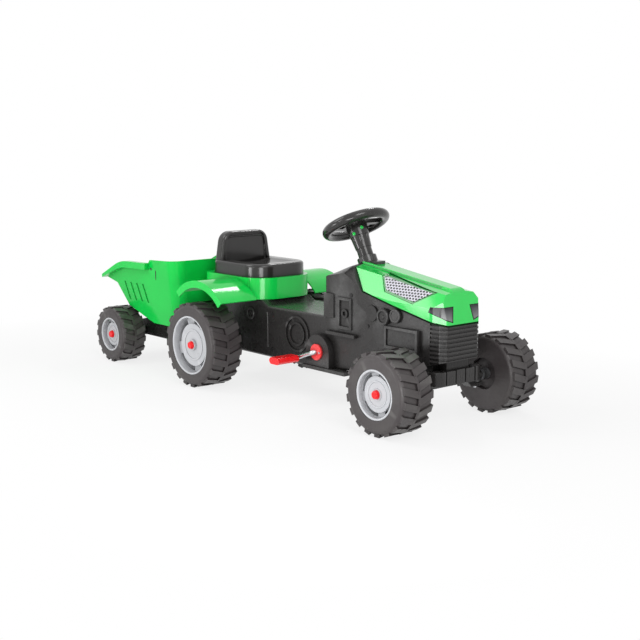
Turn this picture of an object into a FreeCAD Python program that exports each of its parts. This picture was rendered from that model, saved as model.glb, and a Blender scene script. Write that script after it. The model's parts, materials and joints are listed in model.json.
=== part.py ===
import FreeCAD, Part
import math
import operator
import os
import Sketcher
from types import SimpleNamespace

# A child's pedal tractor with its trailer, in millimetres.
# X points forward, Y to the driver's left and Z up; the floor is Z = 0.
# Pieces of the right side (negative Y) are drawn, and those of the left side mirror them.

Vector = FreeCAD.Vector
Rotation = FreeCAD.Rotation
Placement = FreeCAD.Placement

SIZES = {
    # Axle places along the vehicle
    "front_axle_x": 597,
    "wheelbase": 740,
    "trailer_wheelbase": 470,
    "hitch_overhang": 142,
    # Front wheels
    "front_tyre_radius": 103,
    "front_tyre_width": 100,
    "front_track": 482,
    "front_rim_radius": 61.6,
    "front_disc_radius": 44,
    "front_rim_recess": 15,
    "front_lug_height": 5,
    "front_lugs": 18,
    "front_boss_place": 131,
    # Rear wheels
    "rear_tyre_radius": 120,
    "rear_tyre_width": 100,
    "rear_track": 509,
    "rear_rim_radius": 83.3,
    "rear_disc_radius": 60,
    "rear_rim_recess": 19,
    "rear_lug_height": 5,
    "rear_lugs": 20,
    "rear_boss_place": 97,
    # Trailer wheels
    "trailer_tyre_radius": 87,
    "trailer_tyre_width": 81,
    "trailer_track": 460,
    "trailer_rim_radius": 52.6,
    "trailer_disc_radius": 36,
    "trailer_rim_recess": 15,
    "trailer_lug_height": 4,
    "trailer_lugs": 16,
    "trailer_boss_place": 113,
    # What all wheels share
    "tyre_wall": 5,
    "tyre_shoulder": 13,
    "tyre_recess": 12,
    "lug_root": 4,
    "lug_end_inset": 4,
    "tread_rib_half_width": 4,
    "tread_rib_drop": 1,
    "rim_bead": 3,
    "rim_wall": 3,
    "rim_bead_round": 2.5,
    "rim_boss_radius": 15,
    "rim_boss_inset": 9,
    "rim_disc_raise": 4,
    "rim_ring_raise": 1.5,
    "rim_slot_margin": 1,
    "rim_slots": 4,
    "rim_slot_angle": 62,
    "cap_radius": 11.5,
    "cap_skin": 3,
    "cap_round": 2.5,
    # Axles and running fits
    "rear_axle_radius": 7,
    "stub_radius": 6,
    "trailer_axle_radius": 6,
    "running_gap": 0.1,
    "side_gap": 0.5,
    "seat_gap": 0.2,
    "overrun": 20,
    # Body halves
    "wall": 4,
    "body_half_width": 88,
    "body_rear_x": -250,
    "body_rear_low": 125,
    "body_floor": 88,
    "body_floor_rear_x": -195,
    "body_floor_front_x": 150,
    "body_heel_x": 353,
    "body_heel_low": 100,
    "body_belly_rear_x": 372,
    "body_belly_low": 120,
    "body_belly_front_x": 548,
    "body_belly_front_low": 128,
    "body_chin_x": 600,
    "body_chin_low": 150,
    "deck_height": 246,
    "deck_front_x": -20,
    "tunnel_height": 233,
    "tunnel_rear_x": 4,
    "dash_rear_x": 246,
    "dash_rear_height": 336,
    "dash_side_drop": 25,
    "seam_rear_x": 322,
    "seam_rear_height": 378,
    "seam_knee_x": 390,
    "seam_knee_height": 311,
    "nose_x": 657,
    "nose_seam_height": 250,
    "nose_low": 165,
    "grille_back_x": 615,
    "body_taper_x": 430,
    "body_front_half_width": 74,
    "body_edge_round": 7,
    # Relief on the body sides
    "relief_raise": 4,
    "gear_ring_x": 132,
    "gear_ring_height": 170,
    "gear_ring_radius": 50,
    "gear_ring_width": 6,
    "gear_ring_inner_radius": 33,
    "filter_x": 428,
    "filter_seam_gap": 40.3,
    "filter_radius": 20,
    "filter_step": 41,
    "filter_drop": 4,
    "panel_rear_x": 300,
    "panel_front_x": 352,
    "panel_low": 208,
    "panel_high": 290,
    "panel_frame": 7,
    "engine_rear_x": 470,
    "engine_front_x": 585,
    "engine_low": 180,
    "engine_high": 236,
    "ledge_rear_x": 262,
    "ledge_front_x": 372,
    "ledge_low": 190,
    "ledge_high": 198,
    "ledge_raise": 12,
    "dash_step_rear_x": 246,
    "dash_step_front_x": 284,
    "dash_step_low": 233,
    "dash_step_high": 296,
    # Crank housing on the body sides
    "crank_height": 138,
    "crank_arch_radius": 46,
    "crank_arch_face": 108,
    "crank_foot_rear": 58,
    "crank_foot_front": 112,
    "crank_foot_low": 90,
    "crank_foot_high": 99,
    "crank_foot_face": 113,
    # Hood
    "hood_wall": 4,
    "hood_rear_drop": 0.5,
    "hood_nose_rise": 82.6,
    "hood_spine_rear": 27,
    "hood_spine_front": 22,
    "hood_spine_raise": 2.5,
    "hood_shoulder_rear": 60,
    "hood_shoulder_front": 48,
    "hood_shoulder_drop": 8,
    "hood_side_drop_rear": 60,
    "hood_side_drop_front": 52,
    "hood_half_width": 88,
    "hood_front_half_width": 79,
    "hood_mid_x": 500,
    "hood_mid_half_width": 87,
    "hood_cheek_x": 622,
    "hood_nose_half_width": 54,
    "hood_nose_lean": 17,
    "hood_brow_round": 24,
    "hood_nose_round": 14,
    "hood_cheek_round": 22,
    "mesh_rear_top_x": 437,
    "mesh_rear_top_drop": 9.1,
    "mesh_front_top_x": 601,
    "mesh_front_top_drop": 13.1,
    "mesh_front_low_x": 561,
    "mesh_front_low_drop": 41.5,
    "mesh_rear_low_x": 461,
    "mesh_rear_low_drop": 35.9,
    "mesh_frame": 5,
    "mesh_depth": 2.6,
    "mesh_thickness": 1.2,
    "lamp_tip_back": 123.8,
    "lamp_tip_rise": 35,
    "lamp_top_back": 116.8,
    "lamp_top_rise": 48,
    "lamp_front_back": 37.6,
    "lamp_low_rise": 9,
    "lamp_depth": 2.4,
    # Nose grille and front weights
    "grille_cheek_x": 640,
    "grille_cheek_half_width": 69,
    "grille_nose_half_width": 53,
    "grille_round": 8,
    "grille_ribs": 8,
    "grille_rib_depth": 2.5,
    "weight_front_x": 651,
    "weight_back_x": 616,
    "weight_half_width": 85,
    "weight_low": 105,
    "weight_high": 141,
    "weight_round": 28,
    "weight_groove_width": 4,
    "weight_groove_depth": 5,
    "weight_grooves": 4,
    "weight_pitch": 34,
    "weight_neck_half_width": 40,
    "weight_neck_front_x": 640,
    # Steering
    "steer_x": 269,
    "steer_height": 470,
    "steer_tilt": 27,
    "steer_radius": 79,
    "steer_grip_radius": 13,
    "steer_hub_radius": 30,
    "steer_hub_foot_radius": 26,
    "steer_hub_high": 9,
    "steer_hub_low": 34,
    "steer_spoke_half_width": 24,
    "steer_spoke_thickness": 12,
    "steer_hole_half_width": 10,
    "steer_hole_start": 40,
    "steer_hole_end": 60,
    "horn_radius": 15,
    "horn_raise": 5,
    "horn_travel": 3,
    "horn_gap": 0.4,
    "horn_post_radius": 5,
    "shaft_socket": 14,
    "sleeve_top_radius": 25,
    "sleeve_low_radius": 20,
    "sleeve_low": 92,
    "sleeve_waist": 68,
    "sleeve_flutes": 8,
    "sleeve_flute_depth": 2,
    "sleeve_flute_radius": 4,
    "sleeve_waist_radius": 21.5,
    "shaft_radius": 6,
    "shaft_length": 401,
    "collar_radius": 26,
    "collar_high": 93,
    "collar_low": 122,
    "collar_tab_length": 44,
    "collar_tab_half_width": 15,
    "collar_tab_raise": 4,
    "steer_arm": 45,
    "steer_arm_half_width": 8,
    "steer_arm_thickness": 6,
    "steer_pin_radius": 4,
    "steer_pin_length": 22,
    "kingpin_place": 112,
    "kingpin_radius": 5,
    "kingpin_low": 72,
    "kingpin_head_radius": 8,
    "kingpin_head": 4,
    "beam_low": 78,
    "beam_high": 128,
    "beam_ear": 8,
    "beam_half_depth": 14,
    "beam_end": 126,
    "beam_web_end": 94,
    "beam_arch_place": 84,
    "beam_arch_rise": 18,
    "beam_seat_half_width": 60,
    "knuckle_radius": 12,
    "knuckle_gap": 1,
    "knuckle_boss_radius": 10,
    "knuckle_boss_end": 130,
    "stub_root": 119,
    "knuckle_arm_low": 93,
    "knuckle_arm_high": 101,
    "knuckle_arm_half_width": 6,
    "tie_low": 76,
    "tie_high": 82,
    "tie_half_width": 9,
    "tie_slot_half_length": 9,
    "tie_tongue_half_width": 11,
    "tie_slot_gap": 0.4,
    # Pedal drive
    "chain_pitch": 12.7,
    "chain_links": 72,
    "crank_teeth": 14,
    "axle_teeth": 10,
    "sprocket_half_thickness": 2.4,
    "sprocket_tip": 1.2,
    "sprocket_hub_radius": 12,
    "sprocket_hub_length": 14,
    "chain_place": 30,
    "roller_radius": 3.9,
    "roller_gap": 0.5,
    "chain_plate_gap": 3.2,
    "chain_plate_thickness": 1.2,
    "chain_plate_half_height": 4.6,
    "crank_radius": 6,
    "crank_throw": 70,
    "crank_arm_place": 122,
    "crank_bend": 8,
    "crank_pin_end": 196,
    "crank_rest_angle": 19,
    "bush_radius": 21.5,
    "bush_flange": 5,
    "bush_spigot_radius": 13,
    "bush_screw_place": 15,
    "bush_screw_radius": 3,
    "bush_screw_head": 1.6,
    "pedal_start": 131,
    "pedal_length": 70,
    "pedal_depth": 40,
    "pedal_thickness": 18,
    "pedal_taper": 6,
    "pedal_round": 3,
    "pedal_groove": 1.6,
    "pedal_groove_width": 4,
    "pedal_groove_pitch": 11,
    "pedal_grooves": 5,
    "axle_bush_radius": 15,
    "axle_bush_flange": 3,
    # Seat and its base
    "base_rear_x": -276,
    "base_front_x": -12,
    "base_half_width": 110,
    "base_height": 60,
    "base_front_round": 75,
    "base_rear_round": 28,
    "base_rib_rear_x": -205,
    "base_rib_front_x": -60,
    "fender_x": -135,
    "fender_drop": 95,
    "fender_radius": 150,
    "fender_edge": 231,
    "fender_band": 20,
    "fender_rear_angle": 133,
    "fender_sweep": 92,
    "seat_rear_x": -243,
    "seat_front_x": -27,
    "seat_half_width": 100,
    "seat_cushion_height": 37,
    "seat_front_round": 62,
    "seat_rear_round": 22,
    "seat_edge_round": 9,
    "seat_dish_radius": 260,
    "seat_dish_depth": 9,
    "seat_back_thickness": 34,
    "seat_back_height": 118,
    "seat_back_low_half_width": 97,
    "seat_back_top_half_width": 78,
    "seat_back_round": 34,
    "seat_panel_lift": 10,
    "seat_panel_inset": 16,
    "seat_panel_depth": 5,
    # Hitch
    "bracket_thickness": 6,
    "bracket_half_width": 24,
    "bracket_low": 128,
    "bracket_high": 170,
    "hitch_pin_radius": 5,
    "hitch_pin_head_radius": 10,
    "hitch_pin_head": 5,
    "hitch_pin_low": 104,
    "hitch_gap": 0.6,
    "hitch_eye_radius": 15,
    "drawbar_thickness": 10,
    "drawbar_half_width": 15,
    "drawbar_root_half_width": 44,
    # Trailer chassis and tub
    "tub_front_x": -315,
    "tub_floor": 135,
    "tub_floor_rear_x": -458,
    "tub_ramp_x": -504,
    "tub_ramp_height": 149,
    "tub_slope_x": -590,
    "tub_slope_height": 177,
    "tub_lip_x": -645,
    "tub_lip_height": 243,
    "tub_tail_x": -700,
    "tub_tail_low": 256,
    "tub_tail_high": 266,
    "tub_rim_front": 336,
    "tub_rim_rear": 331,
    "tub_step_x": -440,
    "tub_step_drop": 10,
    "tub_shoulder_x": -590,
    "tub_shoulder_height": 318,
    "tub_shoulder_round": 170,
    "tub_low_half_width": 166,
    "tub_high_half_width": 190,
    "tub_corner_round": 40,
    "tub_wall": 4,
    "tub_band": 20,
    "tub_band_raise": 12,
    "tub_groove_x": -500,
    "tub_groove_pitch": 34,
    "tub_groove_high": 252,
    "tub_groove_low": 196,
    "tub_groove_lean": 20,
    "tub_groove_width": 9,
    "tub_groove_depth": 2,
    "tub_grooves": 4,
    "frame_rear_x": -668,
    "frame_front_x": -326,
    "frame_low": 76,
    "frame_rear_high": 112,
    "frame_half_width": 108,
    # Body screws
    "screw_radius": 4.5,
    "screw_head": 2,
}

# Shares of the pieces that they belong to
LUG_WIDTH_SHARE = 0.5
LUG_SLANT_SHARE = 0.45
TYRE_STEP_SHARE = 0.66
CAP_TOP_SHARE = 0.78
RING_INNER_SHARE = 0.66
RING_OUTER_SHARE = 0.74
BODY_SCREW_SHARES = [(0.06, 0.58), (0.30, 0.30), (0.30, 0.56), (0.66, 0.79), (0.73, 0.60)]

doc = FreeCAD.newDocument("PedalTractor")
sheet = doc.addObject("Spreadsheet::Sheet", "Sizes")
for row, (name, number) in enumerate(SIZES.items(), start=1):
    sheet.set(f"A{row}", name)
    sheet.set(f"B{row}", str(number))
    sheet.setAlias(f"B{row}", name)
doc.recompute()

OPERATIONS = {"+": operator.add, "-": operator.sub, "*": operator.mul, "/": operator.truediv}


class Size:
    """A length or an angle that keeps its number beside the sheet formula that gives it."""

    def __init__(self, formula, number):
        self.formula = formula
        self.number = number

    def __add__(self, other):
        return joined(self, "+", other)

    def __radd__(self, other):
        return joined(other, "+", self)

    def __sub__(self, other):
        return joined(self, "-", other)

    def __rsub__(self, other):
        return joined(other, "-", self)

    def __mul__(self, other):
        return joined(self, "*", other)

    def __rmul__(self, other):
        return joined(other, "*", self)

    def __truediv__(self, other):
        return joined(self, "/", other)

    def __rtruediv__(self, other):
        return joined(other, "/", self)

    def __neg__(self):
        return joined(0, "-", self)

    def __float__(self):
        return float(self.number)


def as_size(value):
    return value if isinstance(value, Size) else Size(repr(value), value)


def joined(left, sign, right):
    first = as_size(left)
    second = as_size(right)
    number = OPERATIONS[sign](first.number, second.number)
    return Size(f"({first.formula} {sign} {second.formula})", number)


def sine(angle):
    size = as_size(angle)
    return Size(f"sin({size.formula})", math.sin(math.radians(size.number)))


def cosine(angle):
    size = as_size(angle)
    return Size(f"cos({size.formula})", math.cos(math.radians(size.number)))


def root(value):
    return Size(f"sqrt({value.formula})", math.sqrt(value.number))


s = SimpleNamespace(**{name: Size("Sizes." + name, float(getattr(sheet, name))) for name in SIZES})


def on_line(start, end, x):
    """The height at x of the straight line through two (x, z) points."""
    return start[1] + (end[1] - start[1]) * (x - start[0]) / (end[0] - start[0])


# Drawing helpers

TURNS = {
    "x": Rotation(Vector(0, 1, 0), 90),
    "y": Rotation(Vector(1, 0, 0), -90),
    "z": Rotation(),
}
PLANES = {
    "XY": Rotation(),
    "XZ": Rotation(Vector(1, 0, 0), 90),
    "YZ": Rotation(Vector(1, 1, 1), 120),
}
AXES = {"x": Vector(1, 0, 0), "y": Vector(0, 1, 0), "z": Vector(0, 0, 1)}
ENTRIES = ("x", "y", "z")
NODES = []


def tie(thing, **values):
    """Binds properties to the sheet; a plain value is set as it is."""
    for name, value in values.items():
        if isinstance(value, Size):
            thing.setExpression(name, value.formula)
        else:
            setattr(thing, name, value)


def put(thing, place, turn=None):
    """Turns a thing, then moves it to a place bound to the sheet."""
    if turn is not None:
        thing.Placement = Placement(Vector(), turn)
    for entry, value in zip(ENTRIES, place):
        if isinstance(value, Size):
            thing.setExpression("Placement.Base." + entry, value.formula)
    return thing


def node(name, thing):
    """Names a finished piece, which is then written to a file of that name."""
    thing.Label = name
    NODES.append(thing)
    return thing


def block(low, high):
    thing = doc.addObject("Part::Box", "Block")
    tie(thing, Length=high[0] - low[0], Width=high[1] - low[1], Height=high[2] - low[2])
    return put(thing, low)


def rod(axis, radius, start, length):
    thing = doc.addObject("Part::Cylinder", "Rod")
    tie(thing, Radius=radius, Height=length)
    return put(thing, start, TURNS[axis])


def fuse(things):
    thing = doc.addObject("Part::MultiFuse", "Fused")
    thing.Shapes = things
    thing.Refine = True
    return thing


def cut(base, tools):
    thing = doc.addObject("Part::Cut", "Cut")
    thing.Base = base
    thing.Tool = tools[0] if len(tools) == 1 else fuse(tools)
    thing.Refine = True
    return thing


def common(first, second):
    thing = doc.addObject("Part::Common", "Common")
    thing.Base = first
    thing.Tool = second
    thing.Refine = True
    return thing


def group(things):
    thing = doc.addObject("Part::Compound", "Group")
    thing.Links = things
    return thing


def mirrored(thing):
    """The left-hand copy of a right-hand thing."""
    copy = doc.addObject("Part::Mirroring", "Mirrored")
    copy.Source = thing
    copy.Normal = AXES["y"]
    return copy


def both_sides(thing):
    return [thing, mirrored(thing)]


def draw(sketch, corners):
    """A closed outline of straight runs; a corner (u, v, radius) is rounded."""
    spots = [Vector(float(corner[0]), float(corner[1]), 0) for corner in corners]
    count = len(spots)
    bends = []
    for index, corner in enumerate(corners):
        spot = spots[index]
        back = (spots[index - 1] - spot).normalize()
        ahead = (spots[(index + 1) % count] - spot).normalize()
        half = back.getAngle(ahead) / 2
        radius = corner[2] if len(corner) > 2 else None
        reach = float(radius) / math.tan(half) if radius is not None else 0
        inward = (back + ahead).normalize() if radius is not None else Vector()
        bulge = 0 if radius is None else float(radius) / math.sin(half) - float(radius)
        middle = spot + inward * bulge
        bends.append((spot + back * reach, middle, spot + ahead * reach, radius))
    runs = [
        sketch.addGeometry(Part.LineSegment(bends[index][2], bends[(index + 1) % count][0]), False)
        for index in range(count)
    ]
    limits = []

    def limit(value, *terms):
        size = as_size(value)
        index = sketch.addConstraint(Sketcher.Constraint(*terms, size.number))
        if isinstance(value, Size):
            limits.append((index, size.formula))

    for index, corner in enumerate(corners):
        before = runs[index - 1]
        after = runs[index]
        start, middle, end, radius = bends[index]
        held = (after, 1)
        if radius is None:
            sketch.addConstraint(Sketcher.Constraint("Coincident", before, 2, after, 1))
        else:
            bend = sketch.addGeometry(Part.Arc(start, middle, end), False)
            away = [sketch.getPoint(bend, which).distanceToPoint(start) for which in (1, 2)]
            first, last = (1, 2) if away[0] <= away[1] else (2, 1)
            sketch.addConstraint(Sketcher.Constraint("Tangent", before, 2, bend, first))
            sketch.addConstraint(Sketcher.Constraint("Tangent", bend, last, after, 1))
            limit(radius, "Radius", bend)
            peak = sketch.addGeometry(Part.Point(spots[index]), True)
            sketch.addConstraint(Sketcher.Constraint("PointOnObject", peak, 1, before))
            sketch.addConstraint(Sketcher.Constraint("PointOnObject", peak, 1, after))
            held = (peak, 1)
        limit(corner[0], "DistanceX", -1, 1, *held)
        limit(corner[1], "DistanceY", -1, 1, *held)
    for index, formula in limits:
        sketch.setExpression(f"Constraints[{index}]", formula)
    return sketch


def outline(plane, corners, place=(0, 0, 0), turn=None):
    sketch = doc.addObject("Sketcher::SketchObject", "Outline")
    put(sketch, place, turn if turn is not None else PLANES[plane])
    return draw(sketch, corners)


def prism(sketch, axis, ahead, back=0, taper=0):
    thing = doc.addObject("Part::Extrusion", "Prism")
    thing.Base = sketch
    thing.DirMode = "Custom"
    thing.Dir = AXES[axis] if isinstance(axis, str) else axis
    thing.Solid = True
    tie(thing, LengthFwd=ahead, LengthRev=back, TaperAngle=taper)
    return thing


def turned(sketch, angle=360):
    """A solid of revolution about the Y axis."""
    thing = doc.addObject("Part::Revolution", "Turned")
    thing.Source = sketch
    thing.Axis = AXES["y"]
    thing.Solid = True
    tie(thing, Angle=angle)
    return thing


def lofted(sketches):
    thing = doc.addObject("Part::Loft", "Loft")
    thing.Sections = sketches
    thing.Solid = True
    thing.Ruled = True
    return thing


def rounded(base, radius, chosen):
    """Rounds the edges of a solid that a test on the edge picks."""
    doc.recompute()
    edges = [number for number, edge in enumerate(base.Shape.Edges, start=1) if chosen(edge)]
    thing = doc.addObject("Part::Fillet", "Rounded")
    thing.Base = base
    thing.Edges = [(number, float(radius), float(radius)) for number in edges]
    return thing


def inset(corners, gap):
    """The outline inside a counter-clockwise one, a gap away from it, as numbers from the sheet."""
    spots = [Vector(float(corner[0]), float(corner[1]), 0) for corner in corners]
    inner = []
    for index, corner in enumerate(corners):
        before = (spots[index] - spots[index - 1]).normalize()
        after = (spots[(index + 1) % len(spots)] - spots[index]).normalize()
        left = Vector(-before.y, before.x, 0)
        right = Vector(-after.y, after.x, 0)
        moved = spots[index] + (left + right) * (float(gap) / (1 + left.dot(right)))
        bends_left = before.cross(after).z > 0
        change = -float(gap) if bends_left else float(gap)
        bend = [float(radius) + change for radius in corner[2:]]
        inner.append((moved.x, moved.y, *[radius for radius in bend if radius > 0]))
    return inner


def mirror_half(half):
    """A whole outline from its half: (u, v) points run from one crossing of v = 0 round to the other."""
    return half + [(point[0], -point[1], *point[2:]) for point in reversed(half)]


# Places that several pieces share

rear_axle_x = s.front_axle_x - s.wheelbase
trailer_axle_x = rear_axle_x - s.trailer_wheelbase
hitch_x = rear_axle_x - s.hitch_overhang
axle_drop = s.crank_height - s.rear_tyre_radius
tooth_step = (s.crank_teeth - s.axle_teeth) * s.chain_pitch / (2 * math.pi)
chain_span = (s.chain_links - (s.crank_teeth + s.axle_teeth) / 2) * s.chain_pitch / 2
centre_distance = (chain_span + root(chain_span * chain_span - 2 * tooth_step * tooth_step)) / 2
crank_x = rear_axle_x + root(centre_distance * centre_distance - axle_drop * axle_drop)


# Wheels

def new_body(name):
    return doc.addObject("PartDesign::Body", name)


def body_plane(body, role):
    return next(feature for feature in body.Origin.OriginFeatures if feature.Role == role)


def body_outline(body, role, corners):
    sketch = body.newObject("Sketcher::SketchObject", "Outline")
    sketch.AttachmentSupport = [(body_plane(body, role), "")]
    sketch.MapMode = "FlatFace"
    return draw(sketch, corners)


def body_turn(body, kind, corners, angle=360):
    """A revolved feature about the body's own Y axis."""
    sketch = body_outline(body, "XY_Plane", corners)
    feature = body.newObject("PartDesign::" + kind, kind)
    feature.Profile = sketch
    feature.ReferenceAxis = (sketch, ["V_Axis"])
    tie(feature, Angle=angle)
    return feature


def body_ring(body, features, count):
    """Repeats features round the body's Y axis."""
    pattern = body.newObject("PartDesign::PolarPattern", "Ring")
    pattern.Originals = features
    pattern.Axis = (body_plane(body, "Y_Axis"), [""])
    pattern.Angle = 360
    tie(pattern, Occurrences=count)
    body.Tip = pattern
    return pattern


def wheel_sizes(kind):
    names = ("tyre_radius", "tyre_width", "track", "rim_radius", "disc_radius", "rim_recess",
             "lug_height", "lugs", "boss_place")
    return SimpleNamespace(**{name: getattr(s, f"{kind}_{name}") for name in names})


def lug(body, wheel, turn, side):
    """One slanted tread bar, from the middle of the tread out over one shoulder."""
    thickness = wheel.tyre_radius * (2 * math.pi * LUG_WIDTH_SHARE) / wheel.lugs
    low = wheel.tyre_radius - wheel.lug_height - s.lug_root
    lead = thickness * LUG_SLANT_SHARE
    reach = lead + thickness / 2
    high = root(wheel.tyre_radius * wheel.tyre_radius - reach * reach)
    square = [(lead - thickness / 2, low), (lead + thickness / 2, low),
              (lead + thickness / 2, high), (lead - thickness / 2, high)]
    spun = [(u * cosine(turn) + v * sine(turn), v * cosine(turn) - u * sine(turn)) for u, v in square]
    pad = body.newObject("PartDesign::Pad", "Lug")
    pad.Profile = body_outline(body, "XZ_Plane", spun)
    angle = math.radians(float(turn))
    slant = 2 * float(lead) / float(wheel.tyre_width / 2)
    pad.UseCustomVector = True
    pad.Direction = Vector(-slant * math.cos(angle), side, slant * math.sin(angle))
    pad.AlongSketchNormal = True
    tie(pad, Length=wheel.tyre_width / 2 - s.lug_end_inset)
    return pad


def tyre(kind):
    wheel = wheel_sizes(kind)
    half = wheel.tyre_width / 2
    crown = wheel.tyre_radius - wheel.lug_height
    wall = s.tyre_wall
    step = wheel.rim_radius * TYRE_STEP_SHARE
    floor = half - s.tyre_recess
    body = new_body(kind + "_tyre")
    body_turn(body, "Revolution", [
        (wheel.rim_radius, -half),
        (crown, -half, s.tyre_shoulder),
        (crown, -s.tread_rib_half_width),
        (wheel.tyre_radius - s.tread_rib_drop, -s.tread_rib_half_width),
        (wheel.tyre_radius - s.tread_rib_drop, s.tread_rib_half_width),
        (crown, s.tread_rib_half_width),
        (crown, half, s.tyre_shoulder),
        (step, half),
        (step, floor),
        (s.rim_boss_radius, floor),
        (s.rim_boss_radius, floor - wall),
        (step + wall, floor - wall),
        (step + wall, half - wall),
        (crown - wall, half - wall, s.tyre_shoulder - wall),
        (crown - wall, wall - half, s.tyre_shoulder - wall),
        (wheel.rim_radius, wall - half),
    ])
    lugs = [lug(body, wheel, as_size(0), -1), lug(body, wheel, 180 / wheel.lugs, 1)]
    body_ring(body, lugs, wheel.lugs)
    return body


def rim(kind, axle_radius):
    wheel = wheel_sizes(kind)
    half = wheel.tyre_width / 2
    bore = axle_radius + s.running_gap
    drum = wheel.rim_radius - s.rim_bead
    drum_inner = drum - s.rim_wall
    web = wheel.rim_recess - half
    disc = web - s.rim_disc_raise
    ring = disc - s.rim_ring_raise
    boss = s.rim_boss_inset - half
    inner_end = wheel.track / 2 - half - wheel.boss_place
    body = new_body(kind + "_rim")
    body_turn(body, "Revolution", [
        (bore, boss),
        (s.rim_boss_radius, boss),
        (s.rim_boss_radius, disc),
        (wheel.disc_radius * RING_INNER_SHARE, disc),
        (wheel.disc_radius * RING_INNER_SHARE, ring),
        (wheel.disc_radius * RING_OUTER_SHARE, ring),
        (wheel.disc_radius * RING_OUTER_SHARE, disc),
        (wheel.disc_radius, disc),
        (wheel.disc_radius, web),
        (drum_inner, web),
        (drum_inner, -half, s.rim_bead_round),
        (wheel.rim_radius, -half, s.rim_bead_round),
        (wheel.rim_radius, s.tyre_wall - half),
        (drum, s.tyre_wall - half),
        (drum, half - s.tyre_wall),
        (drum_inner, half - s.tyre_wall),
        (drum_inner, web + s.rim_wall),
        (s.rim_boss_radius, web + s.rim_wall),
        (s.rim_boss_radius, inner_end),
        (bore, inner_end),
    ])
    slot = body_turn(body, "Groove", [
        (wheel.disc_radius + s.rim_slot_margin, web - s.overrun),
        (drum_inner - s.rim_slot_margin, web - s.overrun),
        (drum_inner - s.rim_slot_margin, web + s.rim_wall + s.overrun),
        (wheel.disc_radius + s.rim_slot_margin, web + s.rim_wall + s.overrun),
    ], s.rim_slot_angle)
    body_ring(body, [slot], s.rim_slots)
    return body


def axle_cap(kind, axle_radius):
    """The red cap that is pressed on the axle's end and keeps the wheel on."""
    half = wheel_sizes(kind).tyre_width / 2
    seat = s.rim_boss_inset - half - s.side_gap
    body = new_body(kind + "_cap")
    body_turn(body, "Revolution", [
        (axle_radius, seat),
        (s.cap_radius, seat),
        (s.cap_radius * CAP_TOP_SHARE, -half, s.cap_round),
        (0, -half),
        (0, s.cap_skin - half),
        (axle_radius, s.cap_skin - half),
    ])
    return body


def wheel_pair(kind, axle_x, axle_radius):
    wheel = wheel_sizes(kind)
    makers = {
        "tyre": lambda: tyre(kind),
        "rim": lambda: rim(kind, axle_radius),
        "cap": lambda: axle_cap(kind, axle_radius),
    }
    for name, make in makers.items():
        piece = put(make(), (axle_x, (wheel.tyre_width - wheel.track) / 2, wheel.tyre_radius))
        node(f"{kind}_{name}_right", piece)
        node(f"{kind}_{name}_left", mirrored(piece))


def wheels():
    wheel_pair("front", s.front_axle_x, s.stub_radius)
    wheel_pair("rear", rear_axle_x, s.rear_axle_radius)
    wheel_pair("trailer", trailer_axle_x, s.trailer_axle_radius)


# Body halves

seam_rear = (s.seam_rear_x, s.seam_rear_height)
seam_knee = (s.seam_knee_x, s.seam_knee_height)
seam_nose = (s.nose_x, s.nose_seam_height)
chin = (s.body_chin_x, s.body_chin_low)
nose_bottom = (s.nose_x, s.nose_low)


def body_side_corners():
    return [
        (s.body_rear_x, s.body_rear_low),
        (s.body_floor_rear_x, s.body_floor),
        (s.body_floor_front_x, s.body_floor),
        (s.body_heel_x, s.body_heel_low),
        (s.body_belly_rear_x, s.body_belly_low),
        (s.body_belly_front_x, s.body_belly_front_low),
        chin,
        (s.grille_back_x, on_line(chin, nose_bottom, s.grille_back_x)),
        (s.grille_back_x, on_line(seam_knee, seam_nose, s.grille_back_x)),
        seam_knee,
        seam_rear,
        (s.dash_rear_x, s.dash_rear_height),
        (s.dash_rear_x, s.tunnel_height),
        (s.tunnel_rear_x, s.tunnel_height),
        (s.deck_front_x, s.deck_height),
        (s.body_rear_x, s.deck_height),
    ]


def body_plan_corners():
    right = [
        (s.body_rear_x, -s.body_half_width),
        (s.body_taper_x, -s.body_half_width),
        (s.grille_back_x, -s.body_front_half_width),
    ]
    return mirror_half(right)


def crown_corners(side, shoulder, ridge):
    reach = s.hood_half_width + s.overrun
    edge = (s.hood_half_width, side)
    fold = (s.hood_shoulder_rear, shoulder)
    outer = on_line(fold, edge, reach)
    return [(-reach, 0), (reach, 0), (reach, outer), fold, (0, ridge), (-fold[0], shoulder), (-reach, outer)]


def body_crown(gap=None):
    """What the dash's slanting upper corners leave of the body, or the form a gap further in."""
    ridge = s.seam_rear_height + s.seat_gap
    shoulder = ridge - s.hood_shoulder_drop
    sections = [
        (s.dash_rear_x, crown_corners(s.dash_rear_height + s.wall, s.dash_rear_height + 2 * s.wall, ridge)),
        (s.seam_rear_x, crown_corners(ridge - s.dash_side_drop, shoulder, ridge)),
        (s.seam_knee_x, crown_corners(s.seam_knee_height + s.wall, shoulder, ridge)),
    ]
    if gap is not None:
        sections = [(x, inset(corners, gap)) for x, corners in sections]
    reach = s.hood_half_width + s.overrun
    dash = lofted([outline("YZ", corners, (x, 0, 0)) for x, corners in sections])
    high = s.seam_rear_height + s.overrun
    rear = block((s.body_rear_x - s.overrun, -reach, 0), (s.dash_rear_x, reach, high))
    front = block((s.seam_knee_x, -reach, 0), (s.nose_x, reach, high))
    return fuse([rear, dash, front])


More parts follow.
